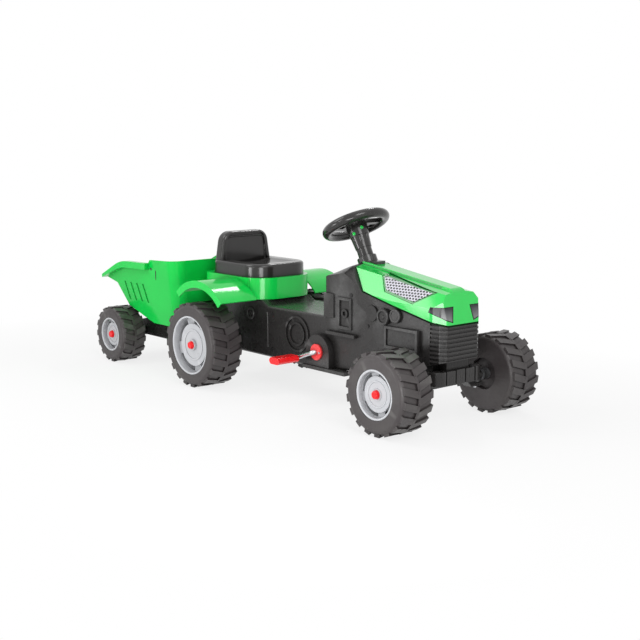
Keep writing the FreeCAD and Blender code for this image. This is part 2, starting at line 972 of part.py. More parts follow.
def body_form():
    """The outer form of the two body halves together, with soft edges."""
    across = prism(outline("XZ", body_side_corners()), "y", s.overrun + s.body_half_width,
                   s.overrun + s.body_half_width)
    upward = prism(outline("XY", body_plan_corners()), "z", s.seam_rear_height + s.overrun)
    form = common(across, upward)
    limit = float(s.body_half_width) / 2

    def is_side_edge(edge):
        away = all(abs(vertex.Point.y) > limit for vertex in edge.Vertexes)
        flat = abs(edge.Vertexes[0].Point.y - edge.Vertexes[-1].Point.y) < limit
        behind = all(vertex.Point.x < float(s.grille_back_x) - float(s.wall) for vertex in edge.Vertexes)
        below = all(on_top_of_seam(vertex.Point) is False for vertex in edge.Vertexes)
        return away and flat and behind and below

    return common(rounded(form, s.body_edge_round, is_side_edge), body_crown())


def on_top_of_seam(point):
    """Whether a point lies on the edge where the hood sits."""
    if point.x < float(s.seam_rear_x) - float(s.wall):
        return False
    return point.z > float(s.nose_seam_height) - float(s.wall)


def body_cavity():
    side = inset(body_side_corners(), s.wall)
    plan = inset(body_plan_corners(), s.wall)
    across = prism(outline("XZ", side), "y", s.overrun + s.body_half_width, s.overrun + s.body_half_width)
    upward = prism(outline("XY", plan), "z", s.seam_rear_height + s.overrun)
    return common(common(across, upward), body_crown(s.wall))


def crank_housing():
    """The arched bulge on the right side that carries the crank bush, with its foot."""
    face = -s.crank_arch_face
    root_y = s.wall - s.body_half_width
    depth = s.crank_arch_face - s.body_half_width + s.wall
    arch = rod("y", s.crank_arch_radius, (crank_x, face, s.crank_height), depth)
    pier = block((crank_x - s.crank_arch_radius, face, s.crank_foot_low),
                 (crank_x + s.crank_arch_radius, root_y, s.crank_height))
    foot = block((crank_x - s.crank_foot_rear, -s.crank_foot_face, s.crank_foot_low),
                 (crank_x + s.crank_foot_front, root_y, s.crank_foot_high))
    return fuse([arch, pier, foot])


# Where the relief ends inside the body wall; the hollow of the body trims it.
relief_back = s.wall - s.body_front_half_width


def raised_ring(x, height, outer, inner):
    face = -s.body_half_width - s.relief_raise
    depth = relief_back - face
    tools = [rod("y", inner, (x, face - s.overrun, height), depth + 2 * s.overrun)]
    return cut(rod("y", outer, (x, face, height), depth), tools)


def raised_frame(rear, front, low, high, width, raise_by):
    face = -s.body_half_width - raise_by
    outer = block((rear, face, low), (front, relief_back, high))
    inner = block((rear + width, face - s.overrun, low + width),
                  (front - width, relief_back + s.overrun, high - width))
    return cut(outer, [inner])


def side_relief():
    """Moulded relief of the right side: gear rings, filters, panel, engine block, ledge and dash step."""
    face = -s.body_half_width - s.relief_raise
    back = relief_back
    panel_x = (s.panel_rear_x + s.panel_front_x) / 2
    panel_z = (s.panel_low + s.panel_high) / 2
    panel_radius = (s.panel_front_x - s.panel_rear_x) / 2 - 2 * s.panel_frame
    filter_height = on_line(seam_knee, seam_nose, s.filter_x) - s.filter_seam_gap
    return [
        raised_ring(s.gear_ring_x, s.gear_ring_height,
                    s.gear_ring_radius, s.gear_ring_radius - s.gear_ring_width),
        raised_ring(s.gear_ring_x, s.gear_ring_height, s.gear_ring_inner_radius,
                    s.gear_ring_inner_radius - s.gear_ring_width),
        rod("y", s.filter_radius, (s.filter_x, face, filter_height), back - face),
        rod("y", s.filter_radius,
            (s.filter_x + s.filter_step, face, filter_height - s.filter_drop), back - face),
        raised_frame(s.panel_rear_x, s.panel_front_x, s.panel_low, s.panel_high,
                     s.panel_frame, s.relief_raise),
        raised_ring(panel_x, panel_z, panel_radius, panel_radius / 2),
        raised_frame(s.engine_rear_x, s.engine_front_x, s.engine_low, s.engine_high, s.panel_frame, 0),
        block((s.ledge_rear_x, -s.body_half_width - s.ledge_raise, s.ledge_low),
              (s.ledge_front_x, back, s.ledge_high)),
        block((s.dash_step_rear_x, face, s.dash_step_low), (s.dash_step_front_x, back, s.dash_step_high)),
    ]


def shaft_hole():
    """The sloping hole for the steering shaft through the dash top and the belly."""
    hole = doc.addObject("Part::Cylinder", "ShaftHole")
    tie(hole, Radius=s.shaft_radius + s.side_gap, Height=s.shaft_length)
    hole.Placement = Placement(Vector(), Rotation(AXES["y"], 180 - float(s.steer_tilt)))
    return put(hole, (s.steer_x, 0, s.steer_height))


def body_halves():
    half = [crank_housing()] + side_relief()
    sides = [piece for thing in half for piece in both_sides(thing)]
    bored = [
        body_cavity(),
        rod("y", s.bush_spigot_radius, (crank_x, -s.crank_foot_face - s.overrun, s.crank_height),
            2 * (s.crank_foot_face + s.overrun)),
        rod("y", s.axle_bush_radius, (rear_axle_x, -s.body_half_width - s.overrun, s.rear_tyre_radius),
            2 * (s.body_half_width + s.overrun)),
        shaft_hole(),
    ]
    shell = cut(fuse([body_form()] + sides), bored)
    reach = s.crank_foot_face + s.overrun
    low = (s.body_rear_x - s.overrun, -reach, 0)
    right = block(low, (s.nose_x, 0, s.seam_rear_height + s.overrun))
    node("chassis_right", common(shell, right))
    left = block((s.body_rear_x - s.overrun, 0, 0), (s.nose_x, reach, s.seam_rear_height + s.overrun))
    node("chassis_left", common(shell, left))


# Hood

ridge_rear = (s.seam_rear_x, s.seam_rear_height - s.hood_rear_drop)
ridge_front = (s.nose_x, s.nose_seam_height + s.hood_nose_rise)


def hood_section_corners(ridge, shoulder, side_drop, spine):
    foot = ridge - s.hood_shoulder_drop * spine / shoulder
    return [
        (-s.hood_half_width, s.nose_low),
        (s.hood_half_width, s.nose_low),
        (s.hood_half_width, ridge - side_drop),
        (shoulder, ridge - s.hood_shoulder_drop),
        (spine, foot),
        (spine - s.hood_spine_raise, ridge + s.hood_spine_raise),
        (s.hood_spine_raise - spine, ridge + s.hood_spine_raise),
        (-spine, foot),
        (-shoulder, ridge - s.hood_shoulder_drop),
        (-s.hood_half_width, ridge - side_drop),
    ]


def hood_side_corners(open_below):
    rise = s.hood_spine_raise + s.seat_gap
    brow = s.nose_x - s.hood_nose_lean
    front = [
        seam_nose,
        (brow, on_line(ridge_rear, ridge_front, brow) + rise, s.hood_brow_round),
        (s.seam_rear_x, ridge_rear[1] + rise),
    ]
    if open_below:
        low = s.nose_seam_height - s.overrun
        return [(s.seam_rear_x, low), (s.nose_x, low)] + front[:]
    return [seam_rear, seam_knee] + front


def hood_plan_corners():
    right = [
        (s.seam_rear_x - s.overrun, -s.hood_half_width),
        (s.hood_mid_x, -s.hood_mid_half_width),
        (s.hood_cheek_x, -s.hood_front_half_width, s.hood_cheek_round),
        (s.nose_x + s.side_gap, -s.hood_nose_half_width, s.hood_nose_round),
    ]
    return mirror_half(right)


def hood_form(gap=None, open_below=False):
    """The outer form of the hood, or the form a gap further in."""
    ends = (
        (*ridge_rear, s.hood_shoulder_rear, s.hood_side_drop_rear, s.hood_spine_rear),
        (*ridge_front, s.hood_shoulder_front, s.hood_side_drop_front, s.hood_spine_front),
    )
    sections = [(x, hood_section_corners(*rest)) for x, *rest in ends]
    side = hood_side_corners(open_below)
    plan = hood_plan_corners()
    if gap is not None:
        sections = [(x, inset(corners, gap)) for x, corners in sections]
        side = inset(side, gap)
        plan = inset(plan, gap)
    loft = lofted([outline("YZ", corners, (x, 0, 0)) for x, corners in sections])
    across = prism(outline("XZ", side), "y", s.hood_half_width + s.overrun, s.hood_half_width + s.overrun)
    upward = prism(outline("XY", plan), "z", s.seam_rear_height + 2 * s.overrun)
    return common(common(loft, across), upward)


def mesh_corners():
    corners = [
        (s.mesh_rear_low_x, s.mesh_rear_low_drop),
        (s.mesh_front_low_x, s.mesh_front_low_drop),
        (s.mesh_front_top_x, s.mesh_front_top_drop),
        (s.mesh_rear_top_x, s.mesh_rear_top_drop),
    ]
    return [(x, on_line(ridge_rear, ridge_front, x) - drop) for x, drop in corners]


def side_window(corners):
    """A prism across both hood sides."""
    reach = s.hood_half_width + s.overrun
    return prism(outline("XZ", corners), "y", reach, reach)


def lamp_window():
    """A prism that looks out of the right cheek at forty-five degrees."""
    places = [
        (s.lamp_tip_back, s.lamp_tip_rise),
        (s.lamp_front_back, s.lamp_low_rise),
        (s.lamp_front_back, s.lamp_top_rise),
        (s.lamp_top_back, s.lamp_top_rise),
    ]
    corners = [((s.nose_x - back) * cosine(45), s.nose_seam_height + rise) for back, rise in places]
    back = (s.nose_x - s.body_half_width) / 2
    turn = Rotation(AXES["z"], 45).multiply(PLANES["XZ"])
    sketch = outline("XZ", corners, (back, -back, 0), turn)
    return prism(sketch, Vector(1, -1, 0), s.nose_x / 2)


def hood_skin(outer, depth, window):
    """What a window picks out of the hood's skin, down to a depth."""
    return common(cut(outer, [hood_form(depth, True)]), window)


def hood():
    outer = hood_form()
    cavity = hood_form(s.hood_wall, True)
    mesh_window = side_window(inset(mesh_corners(), -s.mesh_frame))
    mesh_recess = hood_skin(outer, s.mesh_depth + s.seat_gap, mesh_window)
    mesh_face = hood_form(s.mesh_depth - s.mesh_thickness, True)
    lamp_pockets = both_sides(hood_skin(outer, s.lamp_depth + s.seat_gap, lamp_window()))
    node("hood", cut(outer, [cavity, mesh_recess, shaft_hole()] + lamp_pockets))
    node("hood_mesh_panels", hood_skin(mesh_face, s.mesh_depth, side_window(mesh_corners())))
    node("headlamp_lenses", group(both_sides(hood_skin(outer, s.lamp_depth, lamp_window()))))


# Nose grille and front weights

def grille_plan_corners(rear):
    right = [
        (rear, -s.body_front_half_width),
        (s.grille_cheek_x, -s.grille_cheek_half_width, s.grille_round),
        (s.nose_x, -s.grille_nose_half_width, s.grille_round),
    ]
    return mirror_half(right)


def nose_grille():
    back = s.grille_back_x
    side = outline("XZ", [
        (back, on_line(chin, nose_bottom, back)),
        nose_bottom,
        seam_nose,
        (back, on_line(seam_knee, seam_nose, back)),
    ])
    across = prism(side, "y", s.body_half_width, s.body_half_width)
    whole = common(across, prism(outline("XY", grille_plan_corners(back)), "z", s.seam_knee_height))
    core_plan = inset(grille_plan_corners(back - s.grille_rib_depth), s.grille_rib_depth)
    core = common(across, prism(outline("XY", core_plan), "z", s.seam_knee_height))
    pitch = (s.nose_seam_height - s.nose_low) / s.grille_ribs
    slabs = []
    for index in range(int(float(s.grille_ribs)) + 1):
        low = s.nose_low + (index - 1 / 4) * pitch
        slab = block((back, -s.body_half_width, low), (s.nose_x, s.body_half_width, low + pitch / 2))
        slabs.append(common(whole, slab))
    node("nose_grille", fuse([core] + slabs))


def front_weights():
    plan = mirror_half([
        (s.weight_back_x, -s.weight_half_width),
        (s.weight_front_x, -s.weight_half_width, s.weight_round),
    ])
    bar = prism(outline("XY", plan, (0, 0, s.weight_low)), "z", s.weight_high - s.weight_low)
    grooves = []
    for index in range(int(float(s.weight_grooves))):
        middle = (index - (s.weight_grooves - 1) / 2) * s.weight_pitch
        near = middle - s.weight_groove_width / 2
        far = middle + s.weight_groove_width / 2
        grooves.append(block(
            (s.weight_front_x - s.weight_groove_depth, near, s.weight_low - s.overrun),
            (s.weight_front_x + s.overrun, far, s.weight_high + s.overrun)))
    neck = outline("XZ", [
        (s.weight_back_x, s.weight_high),
        (s.weight_neck_front_x, s.weight_high),
        (s.weight_neck_front_x, on_line(chin, nose_bottom, s.weight_neck_front_x)),
        (s.weight_back_x, on_line(chin, nose_bottom, s.weight_back_x)),
    ])
    carrier = prism(neck, "y", s.weight_neck_half_width, s.weight_neck_half_width)
    node("front_weights", fuse([cut(bar, grooves), carrier]))


# Steering

def on_column(thing):
    """Moves a thing drawn about the upright axis to the tilted steering column."""
    return put(thing, (s.steer_x, 0, s.steer_height), Rotation(AXES["y"], -float(s.steer_tilt)))


def cone(low_radius, high_radius, low, high):
    thing = doc.addObject("Part::Cone", "Cone")
    tie(thing, Radius1=low_radius, Radius2=high_radius, Height=high - low)
    return put(thing, (0, 0, low))


def steering_wheel():
    grip = doc.addObject("Part::Torus", "Grip")
    tie(grip, Radius1=s.steer_radius, Radius2=s.steer_grip_radius)
    half = s.steer_spoke_thickness / 2
    spoke = block((-s.steer_spoke_half_width, -s.steer_radius, -half),
                  (s.steer_spoke_half_width, s.steer_radius, half))
    hub = cone(s.steer_hub_foot_radius, s.steer_hub_radius, -s.steer_hub_low, s.steer_hub_high)
    holes = []
    for thing in both_sides(block(
            (-s.steer_hole_half_width, -s.steer_hole_end, -half - s.overrun),
            (s.steer_hole_half_width, -s.steer_hole_start, half + s.overrun))):
        holes.append(thing)
    pocket_depth = s.horn_travel + s.horn_raise
    pocket = rod("z", s.horn_radius + s.horn_gap,
                 (0, 0, s.steer_hub_high - pocket_depth), pocket_depth + s.overrun)
    bore = rod("z", s.shaft_radius, (0, 0, -s.steer_hub_low - s.overrun), s.overrun + s.shaft_socket)
    post_low = s.steer_hub_high - pocket_depth - s.horn_gap
    post = rod("z", s.horn_post_radius, (0, 0, post_low), pocket_depth)
    wheel = fuse([cut(fuse([grip, spoke, hub]), holes + [pocket, bore]), post])
    node("steering_wheel", on_column(wheel))
    low = s.steer_hub_high - pocket_depth + s.horn_travel + s.horn_gap
    button = rod("z", s.horn_radius, (0, 0, low), s.steer_hub_high + s.horn_raise - low)
    guide = rod("z", s.horn_post_radius + s.running_gap, (0, 0, low - s.overrun),
                s.overrun + s.steer_hub_high - low + s.horn_travel)
    node("horn_button", on_column(cut(button, [guide])))


def column_sleeve():
    upper = cone(s.sleeve_waist_radius, s.sleeve_top_radius, -s.sleeve_waist, -s.steer_hub_low)
    lower = rod("z", s.sleeve_low_radius, (0, 0, -s.sleeve_low), s.sleeve_low - s.sleeve_waist)
    bore = rod("z", s.shaft_radius, (0, 0, -s.sleeve_low - s.overrun), s.sleeve_low + s.overrun)
    flutes = []
    count = int(float(s.sleeve_flutes))
    for index in range(count):
        turn = 360 * index / s.sleeve_flutes
        place = s.sleeve_top_radius - s.sleeve_flute_depth + s.sleeve_flute_radius
        flutes.append(rod("z", s.sleeve_flute_radius,
                          (place * cosine(turn), place * sine(turn), -s.sleeve_waist), s.sleeve_waist))
    node("column_sleeve", on_column(cut(fuse([upper, lower]), [bore] + flutes)))


def steering_shaft():
    end = -s.shaft_length
    shaft = rod("z", s.shaft_radius, (0, 0, end), s.shaft_length - s.steer_hub_low + s.shaft_socket)
    boss = rod("z", s.steer_arm_half_width, (0, 0, end), s.steer_arm_thickness)
    arm = block((-s.steer_arm - s.steer_arm_half_width, -s.steer_arm_half_width, end),
                (0, s.steer_arm_half_width, end + s.steer_arm_thickness))
    pin = rod("z", s.steer_pin_radius, (-s.steer_arm, 0, end - s.steer_pin_length), s.steer_pin_length)
    node("steering_shaft", on_column(fuse([shaft, boss, arm, pin])))


def column_collar():
    """The collar round the shaft, seated on the dash top and the hood's rear end."""
    ring = on_column(rod("z", s.collar_radius, (0, 0, 0), s.collar_low - s.collar_high))
    for entry, value in (("x", s.steer_x + s.collar_low * sine(s.steer_tilt)),
                         ("z", s.steer_height - s.collar_low * cosine(s.steer_tilt))):
        ring.setExpression("Placement.Base." + entry, value.formula)
    tab = block((s.seam_rear_x, -s.collar_tab_half_width, s.seam_rear_height - s.overrun),
                (s.seam_rear_x + s.collar_tab_length, s.collar_tab_half_width,
                 s.seam_rear_height + s.collar_tab_raise))
    across = prism(outline("XZ", body_side_corners()), "y", s.body_half_width, s.body_half_width)
    node("column_collar", cut(fuse([ring, tab]), [across, hood_form(), shaft_hole()]))


# Front axle

def front_axle():
    x = s.front_axle_x
    low, high = s.beam_low, s.beam_high
    arch = s.beam_arch_place
    rise = s.beam_arch_rise
    section = [
        (-s.beam_end, low),
        (-arch, low),
        (rise - arch, low + rise),
        (arch - rise, low + rise),
        (arch, low),
        (s.beam_end, low),
        (s.beam_end, low + s.beam_ear),
        (s.beam_web_end, low + s.beam_ear),
        (s.beam_web_end, high - s.beam_ear),
        (s.beam_end, high - s.beam_ear),
        (s.beam_end, high),
        (-s.beam_end, high),
        (-s.beam_end, high - s.beam_ear),
        (-s.beam_web_end, high - s.beam_ear),
        (-s.beam_web_end, low + s.beam_ear),
        (-s.beam_end, low + s.beam_ear),
    ]
    beam = prism(outline("YZ", section, (x, 0, 0)), "x", s.beam_half_depth, s.beam_half_depth)
    belly_front = (s.body_belly_front_x, s.body_belly_front_low)
    seat = outline("XZ", [
        (x - s.beam_half_depth, high),
        (x + s.beam_half_depth, high),
        (x + s.beam_half_depth, on_line(chin, nose_bottom, x + s.beam_half_depth)),
        chin,
        (x - s.beam_half_depth, on_line(belly_front, chin, x - s.beam_half_depth)),
    ])
    pedestal = prism(seat, "y", s.beam_seat_half_width, s.beam_seat_half_width)
    pin_hole = rod("z", s.kingpin_radius, (x, -s.kingpin_place, low - s.overrun), high - low + 2 * s.overrun)
    node("front_axle_beam", cut(fuse([beam, pedestal]), both_sides(pin_hole)))
    shank = rod("z", s.kingpin_radius, (x, -s.kingpin_place, s.kingpin_low), high - s.kingpin_low)
    head = rod("z", s.kingpin_head_radius, (x, -s.kingpin_place, high), s.kingpin_head)
    node("kingpins", group(both_sides(fuse([shank, head]))))


def knuckle():
    x = s.front_axle_x
    y = -s.kingpin_place
    barrel_low = s.beam_low + s.beam_ear + s.knuckle_gap
    barrel_high = s.beam_high - s.beam_ear - s.knuckle_gap
    barrel = rod("z", s.knuckle_radius, (x, y, barrel_low), barrel_high - barrel_low)
    boss = rod("y", s.knuckle_boss_radius, (x, -s.knuckle_boss_end, s.front_tyre_radius),
               s.knuckle_boss_end - s.kingpin_place)
    arm = block((x - s.steer_arm - s.knuckle_arm_half_width, y - s.knuckle_arm_half_width, s.knuckle_arm_low),
                (x, y + s.knuckle_arm_half_width, s.knuckle_arm_high))
    pin = rod("z", s.steer_pin_radius, (x - s.steer_arm, y, s.tie_low), s.knuckle_arm_low - s.tie_low)
    bore = rod("z", s.kingpin_radius + s.running_gap, (x, y, s.beam_low), s.beam_high - s.beam_low)
    socket = rod("y", s.stub_radius, (x, -s.knuckle_boss_end - s.overrun, s.front_tyre_radius),
                 s.knuckle_boss_end + s.overrun - s.stub_root)
    piece = cut(fuse([barrel, boss, arm, pin]), [bore, socket])
    node("knuckle_right", piece)
    node("knuckle_left", mirrored(piece))
    end = s.front_track / 2 - s.cap_skin
    stub = rod("y", s.stub_radius, (x, -end, s.front_tyre_radius), end - s.stub_root)
    node("stub_axle_right", stub)
    node("stub_axle_left", mirrored(stub))


def tie_rod():
    x = s.front_axle_x - s.steer_arm
    middle = (s.tie_low + s.tie_high) / 2
    arm_x = s.steer_x + s.shaft_length * sine(s.steer_tilt) - s.steer_arm * cosine(s.steer_tilt)
    arm_z = s.steer_height - s.shaft_length * cosine(s.steer_tilt) - s.steer_arm * sine(s.steer_tilt)
    slot_x = arm_x + (arm_z - middle) * sine(s.steer_tilt) / cosine(s.steer_tilt)
    reach = s.kingpin_place + s.tie_half_width
    bar = block((x - s.tie_half_width, -reach, s.tie_low), (x + s.tie_half_width, reach, s.tie_high))
    tongue = block((slot_x - s.tie_slot_half_length - s.tie_half_width, -s.tie_tongue_half_width, s.tie_low),
                   (x, s.tie_tongue_half_width, s.tie_high))
    hole = rod("z", s.steer_pin_radius + s.tie_slot_gap, (x, -s.kingpin_place, s.tie_low - s.overrun),
               s.tie_high - s.tie_low + 2 * s.overrun)
    slot_half = s.steer_pin_radius + s.tie_slot_gap
    slot = block((slot_x - s.tie_slot_half_length, -slot_half, s.tie_low - s.overrun),
                 (slot_x + s.tie_slot_half_length, slot_half, s.tie_high + s.overrun))
    node("tie_rod", cut(fuse([bar, tongue]), both_sides(hole) + [slot]))


# Pedal drive

def pitch_radius(teeth):
    return s.chain_pitch / (2 * sine(180 / teeth))


def sprocket(teeth, x, height, bore):
    """A sprocket with a roller pocket facing straight away from its partner."""
    radius = pitch_radius(teeth)
    half = s.sprocket_half_thickness
    disc = rod("y", radius + s.sprocket_tip, (x, s.chain_place - half, height), 2 * half)
    hub = rod("y", s.sprocket_hub_radius,
              (x, s.chain_place - s.sprocket_hub_length / 2, height), s.sprocket_hub_length)
    tools = [rod("y", bore, (x, s.chain_place - s.sprocket_hub_length, height), 2 * s.sprocket_hub_length)]
    lean = math.degrees(math.asin(float(axle_drop) / float(centre_distance)))
    for index in range(int(float(teeth))):
        turn = 360 * index / teeth + lean
        place = (x + radius * cosine(turn), s.chain_place - 2 * half, height + radius * sine(turn))
        tools.append(rod("y", s.roller_radius + s.roller_gap, place, 4 * half))
    return cut(fuse([disc, hub]), tools)


def chain_loop(grow):
    """A belt-shaped solid round both sprockets, grown beyond the pitch line."""
    crank_radius = pitch_radius(s.crank_teeth) + grow
    axle_radius = pitch_radius(s.axle_teeth) + grow
    lean = math.asin(float(axle_drop) / float(centre_distance))
    wrap = math.asin((float(crank_radius) - float(axle_radius)) / float(centre_distance))
    depth = s.chain_plate_thickness
    spots = []
    for x, z, radius, sides in ((rear_axle_x, s.rear_tyre_radius, axle_radius, (-1, 1)),
                                (crank_x, s.crank_height, crank_radius, (1, -1))):
        for side in sides:
            angle = lean + side * (math.pi / 2 + wrap)
            reach = float(radius)
            spots.append((float(x) + reach * math.cos(angle), float(z) + reach * math.sin(angle)))
    order = [spots[0], spots[3], spots[2], spots[1]]
    band = prism(outline("XZ", order), "y", depth)
    wheels_of_loop = [rod("y", axle_radius, (rear_axle_x, 0, s.rear_tyre_radius), depth),
                      rod("y", crank_radius, (crank_x, 0, s.crank_height), depth)]
    return fuse([band] + wheels_of_loop)


def chain_rollers():
    """Roller places: in the sprocket pockets, and evenly spaced on the two straight runs."""
    lean = math.asin(float(axle_drop) / float(centre_distance))
    engaged = []
    for x, z, teeth, facing in ((crank_x, s.crank_height, s.crank_teeth, 0),
                                (rear_axle_x, s.rear_tyre_radius, s.axle_teeth, math.pi)):
        count = int(float(teeth))
        radius = float(pitch_radius(teeth))
        arc = []
        reach = math.ceil(count / 4)
        for index in range(-reach, reach + 1):
            angle = lean + facing + 2 * math.pi * index / count
            arc.append((float(x) + radius * math.cos(angle), float(z) + radius * math.sin(angle)))
        engaged.append(arc)
    places = []
    for here, there in ((engaged[0], engaged[1]), (engaged[1], engaged[0])):
        places += here
        start, end = here[-1], there[0]
        length = math.dist(start, end)
        steps = round(length / float(s.chain_pitch))
        for step in range(1, steps):
            share = step / steps
            places.append((start[0] + (end[0] - start[0]) * share, start[1] + (end[1] - start[1]) * share))
    return places


def drive_chain():
    half = s.chain_plate_half_height
    plates = []
    for offset in (-s.chain_plate_gap - s.chain_plate_thickness, s.chain_plate_gap):
        plate = cut(chain_loop(half), [chain_loop(-half)])
        plates.append(put(plate, (0, s.chain_place + offset, 0)))
    rollers = []
    for x, z in chain_rollers():
        roller = rod("y", s.roller_radius, (0, s.chain_place - s.chain_plate_gap, 0), 2 * s.chain_plate_gap)
        roller.Placement.Base = Vector(x, roller.Placement.Base.y, z)
        roller.setExpression("Placement.Base.y", (s.chain_place - s.chain_plate_gap).formula)
        rollers.append(roller)
    node("drive_chain", group(plates + rollers))


def crank_path():
    """The centre line of the bent crank rod, its right throw along +X."""
    bend = float(s.crank_bend)
    throw = float(s.crank_throw)
    arm = float(s.crank_arm_place)
    end = float(s.crank_pin_end)
    corners = [(throw, -end), (throw, -arm), (0, -arm), (0, arm), (-throw, arm), (-throw, end)]
    spots = [Vector(x, y, 0) for x, y in corners]
    edges = []
    start = spots[0]
    for index in range(1, len(spots) - 1):
        back = (spots[index - 1] - spots[index]).normalize()
        ahead = (spots[index + 1] - spots[index]).normalize()
        inward = (back + ahead).normalize()
        first = spots[index] + back * bend
        last = spots[index] + ahead * bend
        middle = spots[index] + inward * (bend * (math.sqrt(2) - 1))
        edges.append(Part.LineSegment(start, first).toShape())
        edges.append(Part.Arc(first, middle, last).toShape())
        start = last
    edges.append(Part.LineSegment(start, spots[-1]).toShape())
    return Part.Wire(edges)


def pedal_crank():
    spine = doc.addObject("Part::Feature", "CrankPath")
    spine.Shape = crank_path()
    section = doc.addObject("Part::Circle", "CrankSection")
    tie(section, Radius=s.crank_radius)
    put(section, (s.crank_throw, -s.crank_pin_end, 0), TURNS["y"])
    rod_sweep = doc.addObject("Part::Sweep", "CrankRod")
    rod_sweep.Sections = [section]
    rod_sweep.Spine = (spine, [f"Edge{number}" for number in range(1, len(spine.Shape.Edges) + 1)])
    rod_sweep.Solid = True
    put(rod_sweep, (crank_x, 0, s.crank_height), Rotation(AXES["y"], 180 - float(s.crank_rest_angle)))
    node("pedal_crank", rod_sweep)
    node("chainwheel", sprocket(s.crank_teeth, crank_x, s.crank_height, s.crank_radius))


def crank_bushes():
    face = s.crank_arch_face
    flange = rod("y", s.bush_radius, (crank_x, -face - s.bush_flange, s.crank_height), s.bush_flange)
    inner = s.body_half_width - 2 * s.wall
    spigot = rod("y", s.bush_spigot_radius, (crank_x, -face, s.crank_height), face - inner)
    bore = rod("y", s.crank_radius + s.running_gap,
               (crank_x, -face - s.overrun, s.crank_height), face + s.overrun)
    bush = cut(fuse([flange, spigot]), [bore])
    node("crank_bush_right", bush)
    node("crank_bush_left", mirrored(bush))
    heads = []
    for side in (-1, 1):
        start = -face - s.bush_flange - s.bush_screw_head
        head = rod("y", s.bush_screw_radius,
                   (crank_x + side * s.bush_screw_place, start, s.crank_height), s.bush_screw_head)
        heads += both_sides(head)
    node("crank_bush_screws", group(heads))


def pedal(side):
    """A pedal on its crank pin; side is -1 on the right and 1 on the left."""
    x = crank_x + side * s.crank_throw * cosine(s.crank_rest_angle)
    z = s.crank_height + side * s.crank_throw * sine(s.crank_rest_angle)
    half_x = s.pedal_depth / 2
    half_z = s.pedal_thickness / 2
    corners = [
        (-half_x, s.pedal_taper - half_z, s.pedal_round),
        (s.pedal_taper - half_x, -half_z, s.pedal_round),
        (half_x - s.pedal_taper, -half_z, s.pedal_round),
        (half_x, s.pedal_taper - half_z, s.pedal_round),
        (half_x, half_z - s.pedal_taper, s.pedal_round),
        (half_x - s.pedal_taper, half_z, s.pedal_round),
        (s.pedal_taper - half_x, half_z, s.pedal_round),
        (-half_x, half_z - s.pedal_taper, s.pedal_round),
    ]
    block_form = prism(outline("XZ", corners), "y", 0, s.pedal_start + s.pedal_length)
    tie(block_form, LengthFwd=-s.pedal_start)
    tools = [rod("y", s.crank_radius + s.running_gap, (0, -s.crank_pin_end - s.side_gap, 0), s.crank_pin_end)]
    for index in range(int(float(s.pedal_grooves))):
        step = (index - (s.pedal_grooves - 1) / 2) * s.pedal_groove_pitch
        middle = -s.pedal_start - s.pedal_length / 2 + step
        for low, high in ((half_z - s.pedal_groove, half_z + s.overrun),
                          (-half_z - s.overrun, s.pedal_groove - half_z)):
            tools.append(block((-half_x, middle - s.pedal_groove_width / 2, low),
                               (half_x, middle + s.pedal_groove_width / 2, high)))
    piece = cut(block_form, tools)
    piece = piece if side < 0 else mirrored(piece)
    return put(piece, (x, 0, z))


def drive():
    end = s.rear_track / 2 - s.cap_skin
    node("rear_axle", rod("y", s.rear_axle_radius, (rear_axle_x, -end, s.rear_tyre_radius), 2 * end))
    node("rear_sprocket", sprocket(s.axle_teeth, rear_axle_x, s.rear_tyre_radius, s.rear_axle_radius))
    outer = s.rear_boss_place - s.side_gap
    inner = s.body_half_width - 2 * s.wall
    sleeve = rod("y", s.axle_bush_radius, (rear_axle_x, -outer, s.rear_tyre_radius), outer - inner)
    flange = rod("y", s.axle_bush_radius + s.axle_bush_flange, (rear_axle_x, -outer, s.rear_tyre_radius),
                 outer - s.body_half_width)
    bore = rod("y", s.rear_axle_radius + s.running_gap, (rear_axle_x, -outer - s.overrun, s.rear_tyre_radius),
               outer + s.overrun)
    node("rear_axle_bushes", group(both_sides(cut(fuse([sleeve, flange]), [bore]))))
    pedal_crank()
    crank_bushes()
    node("pedal_right", pedal(-1))
    node("pedal_left", pedal(1))
    drive_chain()


# Seat and its base

def round_plan(rear, front, half_width, rear_round, front_round):
    return mirror_half([(rear, -half_width, rear_round), (front, -half_width, front_round)])


base_high = s.deck_height + s.base_height
cushion_high = base_high + s.seat_cushion_height
seat_back_high = base_high + s.seat_back_height


def seat_base():
    low = s.deck_height
    plan = round_plan(s.base_rear_x, s.base_front_x, s.base_half_width, s.base_rear_round, s.base_front_round)
    inner_plan = round_plan(s.base_rear_x + s.wall, s.base_front_x - s.wall, s.base_half_width - s.wall,
                            s.base_rear_round - s.wall, s.base_front_round - s.wall)
    outer = prism(outline("XY", plan, (0, 0, low)), "z", base_high - low)
    cavity = prism(outline("XY", inner_plan, (0, 0, low)), "z", base_high - low - s.wall, s.overrun)
    ribs = []
    for x in (s.base_rib_rear_x, s.base_rib_front_x):
        ribs.append(block((x - s.wall / 2, s.wall / 2 - s.base_half_width, low),
                          (x + s.wall / 2, s.base_half_width - s.wall / 2, base_high - s.wall / 2)))
    top = s.fender_radius
    section = outline("XY", [
        (top - s.wall, s.wall / 2 - s.base_half_width),
        (top - s.wall, s.wall - s.fender_edge),
        (top - s.fender_band, s.wall - s.fender_edge),
        (top - s.fender_band, -s.fender_edge),
        (top, -s.fender_edge),
        (top, s.wall / 2 - s.base_half_width),
    ], (0, 0, 0), Rotation(AXES["y"], -float(s.fender_rear_angle)))
    fender = put(turned(section, s.fender_sweep), (s.fender_x, 0, s.deck_height - s.fender_drop))
    node("seat_base", fuse([cut(outer, [cavity])] + ribs + both_sides(fender)))


